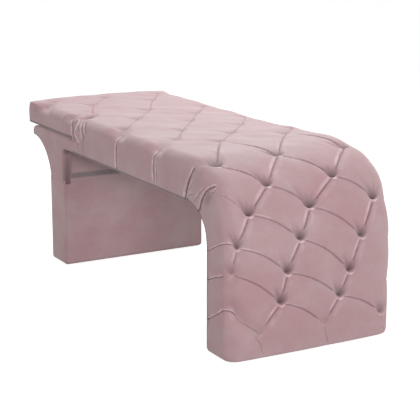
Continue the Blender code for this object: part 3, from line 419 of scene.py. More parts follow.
# How strong a tuft is, how wide and how long its pit, and how far that leans
USUAL_FORCE = (1.0, 1.0, 1.0, 0.10)
TUFT_FORCE = {
    (0.097, -0.226): (0.28, 1.0, 1.0, 0.10),
    (0.090, 0.051): (0.28, 1.0, 1.0, 0.10),
    (0.092, 0.312): (0.70, 1.1, 1.0, 0.10),
    (0.330, -0.350): (0.50, 1.0, 1.0, 0.10),
    (0.538, 0.005): (1.0, 1.3, 1.0, 0.10),
    (0.768, -0.284): (1.0, 1.6, 2.0, -0.15),
    (0.795, -0.010): (1.0, 1.35, 1.6, 0.10),
    (0.785, 0.280): (0.7, 1.4, 1.6, 0.10),
    (1.870, -0.270): (1.5, 1.25, 1.0, 0.10),
}
# How far off a fold shows beside its line and a tuft along and across, and how often a fold on the flat
# top fades along its way
FOLD_REACH = 0.075
TUFT_REACH = (0.16, 0.11)
BREAKS = 85.0
# How deep tufts and hollows sink, how high a tuft's rim and the puckers round it rise, and the most
# that everything together can sink
TUFT_SUNK = 0.018
HOLLOW_SUNK = 0.008
RIM_RISE = 0.0024
PUCKER_RISE = 0.0003
DEEPEST = 0.032


def near_line(run, across, line):
    """Distance to a line, plus on its side towards the head, and the share of its way at that place."""
    start, along = line[:-1], np.diff(line, axis=0)
    length = np.linalg.norm(along, axis=1)
    total = np.concatenate(([0], np.cumsum(length)))
    dr, da = run[:, None] - start[:, 0], across[:, None] - start[:, 1]
    share = np.clip((dr * along[:, 0] + da * along[:, 1]) / length**2, 0, 1)
    off_r, off_a = dr - share * along[:, 0], da - share * along[:, 1]
    gap = np.hypot(off_r, off_a)
    best = gap.argmin(axis=1)
    rows = np.arange(len(run))
    chord = line[-1] - line[0]
    way = math.copysign(1, chord[1])
    turned = (off_r * along[:, 1] - off_a * along[:, 0])[rows, best] * way
    placed = (total[best] + share[rows, best] * length[best]) / total[-1]
    return gap[rows, best] * np.where(turned >= 0, 1, -1), placed


def eased(value):
    """0 below 0, 1 above 1, and a soft step between them."""
    value = np.clip(value, 0, 1)
    return value * value * (3 - 2 * value)


def bell(distance, spread):
    """1 at no distance, and less further off on both sides."""
    return np.exp(-((distance / spread) ** 2))


def at_least(values, near, least):
    """Raises some of the values to at least others."""
    values[near] = np.maximum(values[near], least)


def fold_shares(line, shape, placed, run, reach, vary):
    """At points beside a fold: how far it is there, how far its valley is, and how quiet the top makes it."""
    length = np.linalg.norm(np.diff(line, axis=0), axis=1).sum()
    from_start, from_end = placed * length, (1 - placed) * length
    there = eased((from_start - shape.clear[0]) / 0.018 + 1) * eased((from_end - shape.clear[1]) / 0.014 + 1)
    if shape is PLEAT or shape is FAR_PLEAT:
        there = there * eased((reach - FLAT - 0.010) / 0.024)
    valley = eased(from_start / 0.012) * (eased(from_end / 0.012) if shape is SCALE_FOLD else 1)
    on_top = eased((run - 0.90) / 0.20) * eased((FLAT - reach) / 0.03 + 0.5)
    quiet = 1 - (0.90 if shape is SCALE_FOLD else 0.55) * on_top
    there, valley = there * quiet, valley * quiet
    if shape is not SCALE_FOLD:
        there = there * (1 - 0.75 * on_top * (0.5 + 0.5 * np.sin(from_start * BREAKS + 6 * vary)))
    return there, valley, quiet


def draw_edge(relief, near, reach, off, draw):
    """Draws the edge of the bed in where a fold goes over it, with a painted highlight beside the notch."""
    drawn = draw * bell(reach - FLAT - 0.030, 0.050) * bell(off, 0.042)
    relief.open_share[near] *= 1 - drawn / DEEPEST
    notch = bell(reach - FLAT - 0.042, 0.024) * bell(off, 0.026)
    at_least(relief.bright, near, 18 * draw * notch * (1 - bell(off, 0.004)))


def press_fold(relief, line, shape, vary):
    """Presses one fold in: its crease, the slopes to it and the lips that lean over it, with painted shade in
    the crease and painted highlights beside it.
    """
    low, high = line.min(axis=0) - FOLD_REACH, line.max(axis=0) + FOLD_REACH
    near = np.nonzero(((relief.flat > low) & (relief.flat < high)).all(axis=1))[0]
    if not len(near):
        return
    run, across = relief.flat[near].T
    reach = np.abs(across)
    gap, placed = near_line(run, across, line)
    there, valley, quiet = fold_shares(line, shape, placed, run, reach, vary)
    above = gap >= 0
    on_side = eased((reach - FLAT) / 0.06) * eased((run - 0.45) / 0.3)
    not_between_tufts = shape is not SCALE_FOLD and shape is not TUCK_FOLD
    off = np.abs(gap) / (1 + 0.5 * on_side * not_between_tufts)
    here = Side(*(np.where(above, upper, lower) for upper, lower in zip(shape.upper, shape.lower)))
    relief.open_share[near] *= 1 - shape.depth * there * np.exp(-((off / here.width) ** 1.5)) / DEEPEST
    relief.open_share[near] *= 1 - here.slope * valley * np.exp(-((off / here.slope_width) ** 1.7)) / DEEPEST
    relief.raised[near] += here.lip * there * bell(off - 2.0 * here.width, 0.9 * here.width)
    # Painted shade along the crease, and a painted highlight beside it
    core = 0.0022 + 0.0012 * not_between_tufts * ~above
    at_least(relief.dark, near, shape.dark * bell(off, core) * there)
    catch = here.catch * quiet * relief.rough[near]
    if shape is SCALE_FOLD:
        catch = catch * eased((placed - 0.45) / 0.35) * vary
    at_least(relief.bright, near, catch * there * bell(off - here.off, here.band))
    if shape.draw:
        draw_edge(relief, near, reach, off, shape.draw)
    normal = towards_head(line[-1] - line[0])
    normal /= np.linalg.norm(normal)
    lean = 1.1 * here.lip * there * bell(off - 1.2 * here.width, 0.9 * here.width) * above
    relief.pull[near] -= lean[:, None] * normal


def press_tuft(relief, number, tuft):
    """Presses one tuft in: a pocket that opens up the bed, the rim below it, puckers round it, painted shade
    in the pocket and a painted highlight on the rim.
    """
    force, spread, length, lean = TUFT_FORCE.get(tuft, USUAL_FORCE)
    top = 1.0 if tuft[0] > 1.0 else 0.0
    near = np.nonzero((np.abs(relief.flat - tuft) < TUFT_REACH).all(axis=1))[0]
    along, aside = (relief.flat[near] - tuft).T
    up = along - aside**2 / (0.036 * spread)
    up = np.where(up > 0, up / length, up)
    wide = spread * (0.0200 + 0.24 * np.clip(up, 0, 0.045))
    flank = np.exp(-(np.abs((aside + lean * np.maximum(along, 0)) / wide) ** 1.9))
    below = bell(up, 0.0034)
    pocket = flank * np.where(up > 0, np.exp(-((np.maximum(up, 0) / 0.030) ** 1.8)), below)
    shadow = flank * np.where(up > 0, np.exp(-((np.maximum(up, 0) / 0.038) ** 2.2)), below)
    smile = flank * (1 - 0.6 * top) * bell(up - 0.004, 0.006)
    rim = bell(up + 0.0090, 0.0046) * bell(aside, 0.019)
    turn = np.arctan2(aside, along)
    rays = np.cos(13 * turn + 1.7 * number) + 0.7 * np.cos(21 * turn + 2.9 * number)
    fan = rays * bell(np.hypot(along, aside) - 0.044, 0.015) * np.where(along > -0.004, 1, 0.3)
    relief.open_share[near] *= 1 - TUFT_SUNK * (1 - 0.5 * top) * force * pocket / DEEPEST
    relief.raised[near] += (PUCKER_RISE * fan + RIM_RISE * rim) * force
    # Painted shade fills the pocket, its smile and the puckers and clears painted highlights there; a painted
    # highlight lies on the rim
    relief.bright[near] *= (1 - shadow) ** 3
    at_least(relief.bright, near, rim * force * (1 - 0.5 * top))
    darkness = 0.74 * shadow + 0.20 * smile + 0.09 * fan * (1 - smile)
    at_least(relief.dark, near, force * (1 - 0.55 * top) * darkness)


def press_hollow(relief, hollow):
    """Presses one soft hollow in and paints shade into it."""
    at_run, at_across, long, wide, darkness = hollow
    spot = bell(relief.flat[:, 0] - at_run, long) * bell(relief.flat[:, 1] - at_across, wide)
    relief.open_share *= 1 - HOLLOW_SUNK * darkness * spot / DEEPEST
    relief.dark = np.maximum(relief.dark, darkness * spot)


def pressed(run, across):
    """How far tufts, folds and pleats sink each point, pull it along and across, and the painted shade and
    highlight at it.
    """
    count = len(run)
    relief = SimpleNamespace(
        flat=np.stack((run, across), axis=1),
        rough=1 + 0.22 * waves(run, across, 9, 8, 0.018, 0.05),
        open_share=np.ones(count),
        raised=np.zeros(count),
        pull=np.zeros((count, 2)),
        dark=np.zeros(count),
        bright=np.zeros(count),
    )
    varied = np.random.default_rng(5).uniform(0.45, 1.2, len(FOLDS))
    for vary, (line, shape) in zip(varied, FOLDS):
        press_fold(relief, line, shape, vary)
    for number, tuft in enumerate(TUFTS):
        press_tuft(relief, number, tuft)
    for hollow in HOLLOWS:
        press_hollow(relief, hollow)
    sunk = DEEPEST * (1 - relief.open_share) - relief.raised * relief.open_share
    # Painted shading: 0.5 is neutral, less is painted shade, more is painted highlight
    shade = 0.5 - 0.5 * relief.dark + 0.5 * relief.bright * (1 - relief.dark)
    return sunk, relief.pull, np.clip(shade, 0, 1)


def waves(run, across, seed, count, shortest, longest):
    """Soft unevenness: a sum of seeded waves, about -1 to 1."""
    chance = np.random.default_rng(seed)
    total = np.zeros(len(run))
    for _ in range(count):
        length = chance.uniform(shortest, longest)
        turn, start = chance.uniform(0, 2 * math.pi, 2)
        total += np.sin((run * math.cos(turn) + across * math.sin(turn)) * 2 * math.pi / length + start)
    return total / math.sqrt(count)


# Where the strips under the base's and the headrest's sides end, how far across the two are one cover,
# and where the slot between their sides ends
BASE_END, HEAD_END = reaches(SHELL_DEPTH)[2], reaches(HEAD_DEPTH)[2]
MERGED = reach_at(MERGED_DROP)
SLOT_RUN = RUN_HINGE + 0.001
# Places this close together count as one
NEAR = 1e-5
# Rings that close the hem and the head tip: how far in, and how far along
HEM_RINGS = ((0.004, -0.0004), (0.018, 0.0), (0.020, 0.003))
TIP_RINGS = ((0.004, -0.0008), (0.009, -0.0018), (0.016, -0.003), (0.026, -0.0042), (0.038, -0.005))


def spaced(low, high, spacing=COVER_STEP):
    """Even places from one to another, about a spacing apart."""
    return np.linspace(low, high, max(2, round(abs(high - low) / spacing) + 1))


def half_row(reach_end, depth):
    """The places of points from the middle line over the edge to the end of the strip under the side."""
    wall_end, arc_end, _ = reaches(depth)
    parts = [
        spaced(0, FLAT),
        spaced(FLAT, WALL, 0.0045),
        spaced(WALL, MERGED),
        spaced(MERGED, max(wall_end, MERGED + 0.001)),
        spaced(wall_end, arc_end, 0.0022),
        spaced(arc_end, reach_end, 0.008),
    ]
    row = np.unique(np.round(np.concatenate(parts), 6))
    return row[row <= reach_end + 1e-9]


def mirrored(row):
    """A half row and its mirror image as one row."""
    return np.concatenate((-row[::-1], row[1:]))


def cover_outline(base_row, head_row):
    """The outline of the flat cover, with a slot at each end of the hinge."""
    right = [(HEM, a) for a in base_row]
    right += [(r, BASE_END) for r in spaced(HEM, RUN_HINGE)[1:]]
    right += [(RUN_HINGE, a) for a in base_row[::-1] if MERGED <= a < BASE_END - 1e-9]
    right += [(SLOT_RUN, a) for a in head_row if MERGED < a]
    right += [(r, HEAD_END) for r in spaced(SLOT_RUN, RUN_TIP)[1:]]
    right += [(RUN_TIP, a) for a in head_row[::-1][1:]]
    return right + [(r, -a) for r, a in right[::-1] if a > 0]


def inside(points, margin):
    """Which points lie in the flat cover, at least a margin in from its outline."""
    run, reach = points[:, 0], np.abs(points[:, 1])
    limit = np.where(run <= RUN_HINGE, BASE_END, HEAD_END) - margin
    in_slot = (np.abs(run - RUN_HINGE) < 0.003) & (reach > MERGED - 0.002)
    return (run > HEM + margin) & (run < RUN_TIP - margin) & (reach < limit) & ~in_slot


def beside_ends(base_row, head_row):
    """Rows of points close to the hem and to the head tip."""
    rows = []
    for edge, row, way in ((HEM, base_row, 1), (RUN_TIP, head_row, -1)):
        both = mirrored(row)
        for off in (0.0008, 0.0025, 0.005, 0.009, 0.014, 0.020):
            rows.append(np.stack((np.full(len(both), edge + way * off), both), axis=1))
    return rows[::-1]


def beside_folds():
    """Lines of points along both sides of every fold."""
    rows = []
    for offset in (0.0018, 0.0048, 0.0085, 0.0135):
        for line, _ in FOLDS:
            along = np.gradient(line, axis=0)
            along /= np.linalg.norm(along, axis=1)[:, None]
            normal = np.stack((-along[:, 1], along[:, 0]), axis=1)
            rows += [line + offset * normal, line - offset * normal]
    return rows


def round_tufts():
    """Rings of points round every tuft."""
    rings = []
    for tuft in TUFTS:
        for ring, radius in enumerate((0.003, 0.0065, 0.011, 0.016)):
            turn = np.linspace(0, 2 * math.pi, 8 + 6 * ring, endpoint=False) + ring
            rings.append(np.array(tuft) + radius * np.stack((np.cos(turn), np.sin(turn)), axis=1))
    return rings


def grid(base_row, head_row):
    """A grid of points over the base's and the headrest's part, with every other line shifted."""
    parts = []
    for row, start, end in ((base_row, HEM, RUN_HINGE), (head_row, SLOT_RUN, RUN_TIP)):
        both = mirrored(row)[1:-1]
        run, across = np.meshgrid(spaced(start + 0.004, end - 0.004, 0.0065), both)
        run = run + np.where(np.arange(len(both)) % 2, 0.0016, -0.0016)[:, None]
        parts.append(np.stack((run.ravel(), across.ravel()), axis=1))
    return parts


def cells(points, size, shift):
    """A number for the square cell that each point lies in."""
    place = np.floor(points / size + shift).astype(np.int64)
    return place[:, 0] * 100003 + place[:, 1]


def thinned(free, fixed):
    """The free points, without those that share a cell with a fixed point or an earlier free one."""
    for size, shift in ((0.0026, 0.0), (0.0026, 0.5), (0.0022, 0.25)):
        free = free[~np.isin(cells(free, size, shift), cells(fixed, size, shift))]
        _, first = np.unique(cells(free, size, shift), return_index=True)
        free = free[np.sort(first)]
    return free


def cover_plan():
    """Points and lines of the flat cover: its outline, the folds with lines beside them, and a grid."""
    base_row, head_row = half_row(BASE_END, SHELL_DEPTH), half_row(HEAD_END, HEAD_DEPTH)
    points = cover_outline(base_row, head_row)
    lines = [(i, (i + 1) % len(points)) for i in range(len(points))]
    fixed = [np.array(points)]
    for line, _ in FOLDS:
        line = line[inside(line, 0.002)]
        lines += [(i, i + 1) for i in range(len(points), len(points) + len(line) - 1)]
        points += [tuple(p) for p in line]
        fixed.append(line)
    free = beside_ends(base_row, head_row) + beside_folds() + round_tufts() + grid(base_row, head_row)
    free = np.concatenate(free)
    free = free[inside(free, 0.0005)]
    return points + [tuple(p) for p in thinned(free, np.concatenate(fixed))], lines


def swelling(run, across, up, limit, seam, from_ends):
    """How far the padding swells out over the bend, at its two edges, on the foot and on the sides."""
    on_top, off_top = np.maximum(up, 0), 1 - np.maximum(up, 0)
    swell = BEND_PUFF * np.sin(np.clip((run - Z_BEND) / BEND_RUN, 0, 1) * math.pi) ** 2
    for side, bulges in ((1, FAR_BULGES), (-1, NEAR_BULGES)):
        edge = sum(height * bell(run - place, spread) for place, spread, height in bulges)
        swell = swell + edge * np.clip((side * across - 0.05) / 0.25, 0, 1)
    wall_share = np.clip((np.abs(across) - FLAT) / (limit - FLAT), 0, 1)
    foot = FOOT_PUFF * eased((0.62 - run) / 0.25) * off_top * from_ends
    flank = SIDE_PUFF * np.sin(wall_share * math.pi) * off_top * seam * from_ends
    return swell * on_top + foot + flank


def place_cover(flat):
    """Lays the flat cover's points on the bed, pressed in at its tufts and folds, and gives them their
    painted shading.
    """
    run, across = flat[:, 0].copy(), flat[:, 1].copy()
    reach = np.abs(across)
    on_base = run <= RUN_HINGE + 1e-7
    limit = np.where(on_base, reaches(SHELL_DEPTH)[0], reaches(HEAD_DEPTH)[0])
    sunk, pull, shade = pressed(run, across)
    from_rim = np.clip((limit - reach) / 0.012, 0, 1)
    from_ends = np.clip(np.minimum(run - HEM, RUN_TIP - run) / 0.015, 0, 1)
    seam = np.where(reach > MERGED, np.clip((RUN_HINGE - run) / 0.02, 0, 1), 1)
    seam = np.where(run > RUN_HINGE, 1, seam)
    hold = from_rim * seam
    uneven = 0.0010 * waves(run, across, 4, 14, 0.08, 0.30) * np.clip((WALL - reach) / 0.05, 0.35, 1)
    sunk = sunk * np.maximum(from_rim, 0.15) * seam * (0.35 + 0.65 * from_ends) + uneven * hold
    pull *= (hold * from_ends)[:, None]
    squareness = 0.6 * bell(RUN_TIP - run, 0.09)
    y, drop, out, up = section(across + pull[:, 1], np.where(on_base, SHELL_DEPTH, HEAD_DEPTH), squareness)
    x, z, out_x, out_z = crown(run + pull[:, 0])
    over_hinge = np.exp(-(((run - RUN_HINGE) / 0.045) ** 4)) * eased((reach - 0.26) / 0.03)
    most = WALL_SINK + (0.05 - 0.059 * over_hinge) * np.maximum(up, 0)
    sunk = np.where(sunk > 0, most * np.tanh(sunk / most), sunk)
    total = sunk + end_sunk(run, up) - swelling(run, across, up, limit, seam, from_ends)
    lower = drop + up * total
    # Painted shade on the lower round and the strip under the side, and on the rounded corners of the head
    # tip
    shade = np.where(reach > limit - 0.005, 0.04, shade)
    shade = np.where((run > RUN_TIP - 0.007) & (reach > FLAT + 0.03), 0.24, shade)
    return np.stack((x - out_x * lower, y - out * total, z - out_z * lower), axis=1), shade


def ordered(mask, values):
    """The numbers of the points that a mask picks, in the order of their values."""
    return [int(i) for i in sorted(np.nonzero(mask)[0], key=lambda i: values[i])]


def join_rings(bm, near, far):
    """Faces between two rings of points."""
    for i in range(len(near)):
        j = (i + 1) % len(near)
        bm.faces.new((near[i], near[j], far[j], far[i]))


def raised_row(bm, verts, run, rim):
    """New points inside the cover, straight up from the inner rim of a strip, and the faces to them."""
    row = []
    for i in rim:
        _, _, out_x, out_z = (float(v[0]) for v in crown(run[i : i + 1]))
        row.append(bm.verts.new(verts[i].co + Vector((out_x, 0, out_z)) * UNDER_RISE))
    for a, b, c, d in zip(rim, rim[1:], row[1:], row):
        bm.faces.new((verts[a], verts[b], c, d))
    return row


def close_hinge(bm, verts, run, across, inner):
    """Closes the opening between the two parts at the hinge, with a sharp edge round it."""
    (left_base, left_head), (right_base, right_head) = inner
    slots = []
    for side in (-1, 1):
        base = ordered((np.abs(run - RUN_HINGE) < NEAR) & (side * across > MERGED - NEAR), across)
        head = ordered((np.abs(run - SLOT_RUN) < NEAR) & (side * across > MERGED + NEAR), across)
        slots.append(([verts[i] for i in base[::side]], [verts[i] for i in head[::side]]))
    (slot_left_base, slot_left_head), (slot_right_base, slot_right_head) = slots
    loop = slot_left_base + [left_base[-1], right_base[-1]] + slot_right_base[::-1]
    loop += slot_right_head + [right_head[0], left_head[0]] + slot_left_head[::-1]
    edges = []
    for a, b in zip(loop, loop[1:] + loop[:1]):
        edges.append(bm.edges.get((a, b)) or bm.edges.new((a, b)))
        edges[-1].smooth = False
    bmesh.ops.triangle_fill(bm, edges=edges, use_beauty=True)


def close_end(bm, ring, steps, thick_axis):
    """Closes an end with rings that step in from its outline and out or in along the run."""
    outline = [v.co.copy() for v in ring]
    highest = max(p[thick_axis] for p in outline)
    middle = (min(p[thick_axis] for p in outline) + highest) / 2
    for inset, push in steps:
        new = []
        for p in outline:
            q = p.copy()
            q.y = p.y * (1 - inset / HALF)
            q[thick_axis] = middle + (p[thick_axis] - middle) * (1 - inset / (highest - middle))
            q[2 - thick_axis] = p[2 - thick_axis] + push
            new.append(bm.verts.new(q))
        join_rings(bm, ring, new)
        ring = new
    last = [bm.edges.get((a, b)) for a, b in zip(ring, ring[1:] + ring[:1])]
    bmesh.ops.triangle_fill(bm, edges=last, use_beauty=True)


def make_quilted_cover():
    """One cover over both cushions: the pressed sheet, lined inside and closed at the hinge and the ends."""
    points, lines = cover_plan()
    flat, _, faces, *_ = delaunay_2d_cdt(points, lines, [], 1, 1e-6)
    flat = np.array([tuple(p) for p in flat])
    run, across = flat[:, 0], flat[:, 1]
    place, shade = place_cover(flat)
    mesh = bpy.data.meshes.new("quilted_cover")
    mesh.from_pydata(place.tolist(), [], faces)
    attribute = mesh.attributes.new("painted_shading", "FLOAT", "POINT")
    attribute.data.foreach_set("value", shade.astype(np.float32))
    bm = bmesh.new()
    bm.from_mesh(mesh)
    verts = list(bm.verts)
    inner = []
    for side in (-1, 1):
        base_rim = ordered((np.abs(across - side * BASE_END) < NEAR) & (run <= RUN_HINGE + NEAR), run)
        head_rim = ordered((np.abs(across - side * HEAD_END) < NEAR) & (run >= SLOT_RUN - NEAR), run)
        inner.append([raised_row(bm, verts, run, rim) for rim in (base_rim, head_rim)])
    for left, right in zip(*inner):
        for a, b, c, d in zip(left, left[1:], right[1:], right):
            bm.faces.new((a, b, c, d))
    close_hinge(bm, verts, run, across, inner)
    (left_base, left_head), (right_base, right_head) = inner
    hem = [verts[i] for i in ordered(np.abs(run - HEM) < NEAR, across)]
    close_end(bm, hem + [right_base[0], left_base[0]], HEM_RINGS, 0)
    tip = [verts[i] for i in ordered(np.abs(run - RUN_TIP) < NEAR, across)]
    close_end(bm, tip + [right_head[-1], left_head[-1]], TIP_RINGS, 2)
    # The lining rows and end caps get neutral painted shading
    painted_shading = bm.verts.layers.float["painted_shading"]
    for v in list(bm.verts)[len(flat) :]:
        v[painted_shading] = 0.5
    bmesh.ops.recalc_face_normals(bm, faces=bm.faces[:])
    bm.to_mesh(mesh)
    bm.free()
    mesh.shade_smooth()
    obj = bpy.data.objects.new("quilted_cover", mesh)
    bpy.context.scene.collection.objects.link(obj)
    return obj


def select_only(obj):
    """Makes a piece the only selected and active one."""
    bpy.ops.object.select_all(action="DESELECT")
    obj.select_set(True)
    bpy.context.view_layer.objects.active = obj


def shade_smooth(obj, degrees=35):
    """Shades a piece smooth, except over edges that turn more."""
    select_only(obj)
    bpy.ops.object.shade_smooth_by_angle(angle=math.radians(degrees))


def round_edges(obj, width, segments):
    """Rounds a piece's edges over."""
    bevel = obj.modifiers.new("rounding", "BEVEL")
    bevel.width = width
    bevel.segments = segments
    bevel.limit_method = "ANGLE"
    bevel.angle_limit = math.radians(40)
    select_only(obj)
    bpy.ops.object.modifier_apply(modifier=bevel.name)


def new_object(name, bm):
    """A piece of the scene from a bmesh, with its faces turned outwards."""
    bmesh.ops.recalc_face_normals(bm, faces=bm.faces[:])
    mesh = bpy.data.meshes.new(name)
    bm.to_mesh(mesh)
    bm.free()
    obj = bpy.data.objects.new(name, mesh)
    bpy.context.scene.collection.objects.link(obj)
    return obj


def from_rings(name, rings):
    """A piece from rings of points, joined to each other and closed at both ends."""
    bm = bmesh.new()
    made = [[bm.verts.new(point) for point in ring] for ring in rings]
    for near, far in zip(made, made[1:]):
        join_rings(bm, near, far)
    bm.faces.new(made[0][::-1])
    bm.faces.new(made[-1])
    return new_object(name, bm)


def cut_in_strips(bm, spacing, margin):
    """Cuts a piece across at even steps and just inside its ends, so that its wide faces shade flat."""
    for axis in (Vector((0, 1, 0)), Vector((0, 0, 1))):
        reach = [axis.dot(v.co) for v in bm.verts]
        low, high = min(reach), max(reach)
        count = max(1, round((high - low) / spacing))
        places = [low + (high - low) * step / count for step in range(1, count)]
        for place in [low + margin, high - margin] + places:
            geometry = bm.verts[:] + bm.edges[:] + bm.faces[:]
            bmesh.ops.bisect_plane(bm, geom=geometry, plane_co=axis * place, plane_no=axis, dist=1e-6)


def from_node(name, node, rounding):
    """A piece on a CAD soft solid's own outline, with its edges rounded over."""
    bm = bmesh.new()
    bm.from_mesh(NODES[node].data)
    bmesh.ops.remove_doubles(bm, verts=bm.verts[:], dist=1e-5)
    bmesh.ops.dissolve_limit(bm, angle_limit=math.radians(1), verts=bm.verts[:], edges=bm.edges[:])
    obj = new_object(name, bm)
    obj.data.materials.clear()
    if rounding:
        round_edges(obj, rounding, 3)
        bm = bmesh.new()
        bm.from_mesh(obj.data)
        cut_in_strips(bm, PANEL_STRIP, rounding + 0.004)
        bm.to_mesh(obj.data)
        bm.free()
    shade_smooth(obj)
    return obj


def shade_by_normal(obj, back=0.0, front=0.0, under=0.0, corner=0.0, level=0.5, behind=0.0, top=0.0):
    """Paints shade and light into a piece's colour by the way that its points face.

    It paints shade towards the back, the front, down and round an upright edge. It paints light on
    what faces straight to the head, and up.
    """
    attribute = obj.data.attributes.new("painted_shading", "FLOAT", "POINT")
    for vertex, value in zip(obj.data.vertices, attribute.data):
        n = vertex.normal
        turned = 4 * abs(n.x * n.y) * (1 - n.z * n.z)
        dark = back * min(0.25, max(0, -n.x)) * abs(n.y) + front * max(0, n.x)
        dark += under * max(0, -n.z) + corner * min(1, turned)
        light = behind * max(0, -n.x) * (1 - abs(n.y)) ** 2 + top * max(0, n.z)
        value.value = max(0.02, level - dark + light)


def arc_points(centre, radius, start, end, steps):
    """Points along an arc, from one angle in degrees to another."""
    turns = [math.radians(start + (end - start) * step / steps) for step in range(steps + 1)]
    return [(centre[0] + radius * math.cos(t), centre[1] + radius * math.sin(t)) for t in turns]


def moved_in(outline, rounds):
    """For each corner of an outline: the corner, its way in by the rounds of its two edges, its round."""
    ways = []
    for i, here in enumerate(outline):
        normals = []
        for a, b in ((outline[i - 1], here), (here, outline[(i + 1) % len(outline)])):
            length = math.dist(a, b)
            normals.append((-(b[1] - a[1]) / length, (b[0] - a[0]) / length))
        (px, pz), (qx, qz) = normals
        p, q = rounds[i - 1], rounds[i]
        cross = px * qz - pz * qx
        if abs(cross) < 0.5:
            share = (p + q) / 2 / (1 + px * qx + pz * qz)
            way = (share * (px + qx), share * (pz + qz))
        else:
            way = ((p * qz - q * pz) / cross, (px * q - qx * p) / cross)
        ways.append((here, way, (p + q) / 2 if p and q else max(p, q)))
    return ways


def cheek_outline():
    """The cheek seen from the side: its end at the hinge, its nose, its flare, its foot and a fillet."""
    flare_end = math.degrees(math.asin((CHEEK_BOTTOM - FLARE_Z) / FLARE_RADIUS))
    fillet = (LEG_HIGH.x + CHEEK_FILLET, CHEEK_UNDER - CHEEK_FILLET)
    outline = [(X_HINGE, CHEEK_UNDER), (X_HINGE, CHEEK_TOP)]
    outline += [(X_CHEEK_TIP + inwards, CHEEK_TOP - below) for inwards, below in CHEEK_NOSE]
    outline += arc_points((X_CHEEK_TIP, FLARE_Z), FLARE_RADIUS, 90, flare_end, 20)
    outline += [(LEG_HIGH.x, CHEEK_BOTTOM)]
    return outline + arc_points(fillet, CHEEK_FILLET, 180, 90, 6)


def cheek_rounds(outline):
    """How far each edge of the cheek's outline is rounded: not at the hinge, most beside the leg."""
    rounds = []
    for (ax, az), (bx, bz) in zip(outline, outline[1:] + outline[:1]):
        x, z = (ax + bx) / 2, (az + bz) / 2
        if x > X_HINGE - 1e-6:
            rounds.append(0.0)
        elif z > CHEEK_TOP - TOP_ROUND:
            rounds.append(TOP_ROUND)
        elif x < LEG_HIGH.x - 0.001:
            rounds.append(FLARE_ROUND if z > CHEEK_BOTTOM + 1e-6 else BOTTOM_ROUND)
        else:
            past = max(0, x - LEG_HIGH.x)
            rounds.append(max(BOTTOM_ROUND, FRONT_ROUND - 0.4 * past))
    return rounds


def make_cheek_pad(word, side):
    """The padded flare beside the leg, level with the cover's side and butted to it at the hinge."""
    outline = cheek_outline()
    corners = moved_in(outline, cheek_rounds(outline))
    rings = [[(x, side * RAIL_IN, z) for x, z in outline]]
    for degrees, extra in [(15 * step, 0) for step in range(7)] + [(90, CHEEK_FACE_RING)]:
        turn = math.radians(degrees)
        ring = []
        for (x, z), (dx, dz), rounding in corners:
            share = 1 - math.cos(turn) + (extra / rounding if rounding else 0)
            y = HALF - rounding * (1 - math.sin(turn))
            ring.append((x + share * dx, side * y, z + share * dz))
        rings.append(ring)
    obj = from_rings(f"cheek_pad_{word}", rings)
    shade_smooth(obj)
    # Painted shade on the back, front and underside of the pad, painted light on what faces the head
    shade_by_normal(obj, back=1.9, front=0.16, under=0.40, behind=0.30)
    return obj


def make_deck_pad():
    """The pad under the headrest, wrapped down over the deck's end."""
    out = DECK_LOW.x - DECK_WRAP
    bottom = Z_BACK_TOP - DECK_LAP
    profile = [
        (DECK_HIGH.x, DECK_LOW.z),
        (DECK_HIGH.x, DECK_HIGH.z),
        (out + DECK_ROUND, DECK_HIGH.z),
        (out, DECK_HIGH.z - DECK_ROUND),
        (out, bottom),
        (DECK_LOW.x, bottom),
        (DECK_LOW.x, DECK_LOW.z),
    ]
    rings = [[(x, y, z) for x, z in profile] for y in (DECK_LOW.y, DECK_HIGH.y)]
    obj = from_rings("support_top_pad", rings)
    shade_smooth(obj, 50)
    # Painted light: the pad's velvet is made lighter than the neutral level
    shade_by_normal(obj, level=0.7)
    return obj


def make_leg_slip_cover():
    """The slab's velvet cover: a rounded box with faintly crowned faces."""
    size = LEG_HIGH - LEG_LOW
    centre = (LEG_LOW + LEG_HIGH) / 2
    bpy.ops.object.select_all(action="DESELECT")
    bpy.ops.mesh.primitive_cube_add(size=1, location=centre, scale=size)
    obj = bpy.context.active_object
    obj.name = obj.data.name = "leg_slip_cover"
    bpy.ops.object.transform_apply(location=True, rotation=True, scale=True)
    round_edges(obj, LEG_ROUND, 6)
    bm = bmesh.new()
    bm.from_mesh(obj.data)
    for axis in range(3):
        low, high = LEG_LOW[axis] + LEG_ROUND + 0.001, LEG_HIGH[axis] - LEG_ROUND - 0.001
        normal = Vector([float(i == axis) for i in range(3)])
        count = round((high - low) / LEG_STRIP)
        for step in range(count + 1):
            at = normal * (low + (high - low) * step / count)
            geometry = bm.verts[:] + bm.edges[:] + bm.faces[:]
            bmesh.ops.bisect_plane(bm, geom=geometry, plane_co=at, plane_no=normal)
    for v in bm.verts:
        share = [1 - (2 * (v.co[i] - centre[i]) / size[i]) ** 2 for i in range(3)]
        if share[0] < 0.02:
            v.co.x += math.copysign(LEG_END_CROWN, v.co.x - centre.x) * (share[1] * share[2] - 0.5)
        if share[1] < 0.005:
            v.co.y += math.copysign(LEG_SIDE_CROWN, v.co.y) * (share[0] * share[2] - 1.1)
    bm.to_mesh(obj.data)
    bm.free()
    shade_smooth(obj)
    # Painted shade underneath and round upright edges, painted light on the top and over the whole cover
    shade_by_normal(obj, under=0.3, corner=0.16, level=0.60, top=0.30)
    return obj


def material(name):
    """A new material, its node tree and its shader."""
    made = bpy.data.materials.new(name)
    made.use_nodes = True
    return made, made.node_tree, made.node_tree.nodes["Principled BSDF"]


def set_inputs(node, values):
    """Sets a node's inputs by their names."""
    for name, value in values.items():
        node.inputs[name].default_value = value


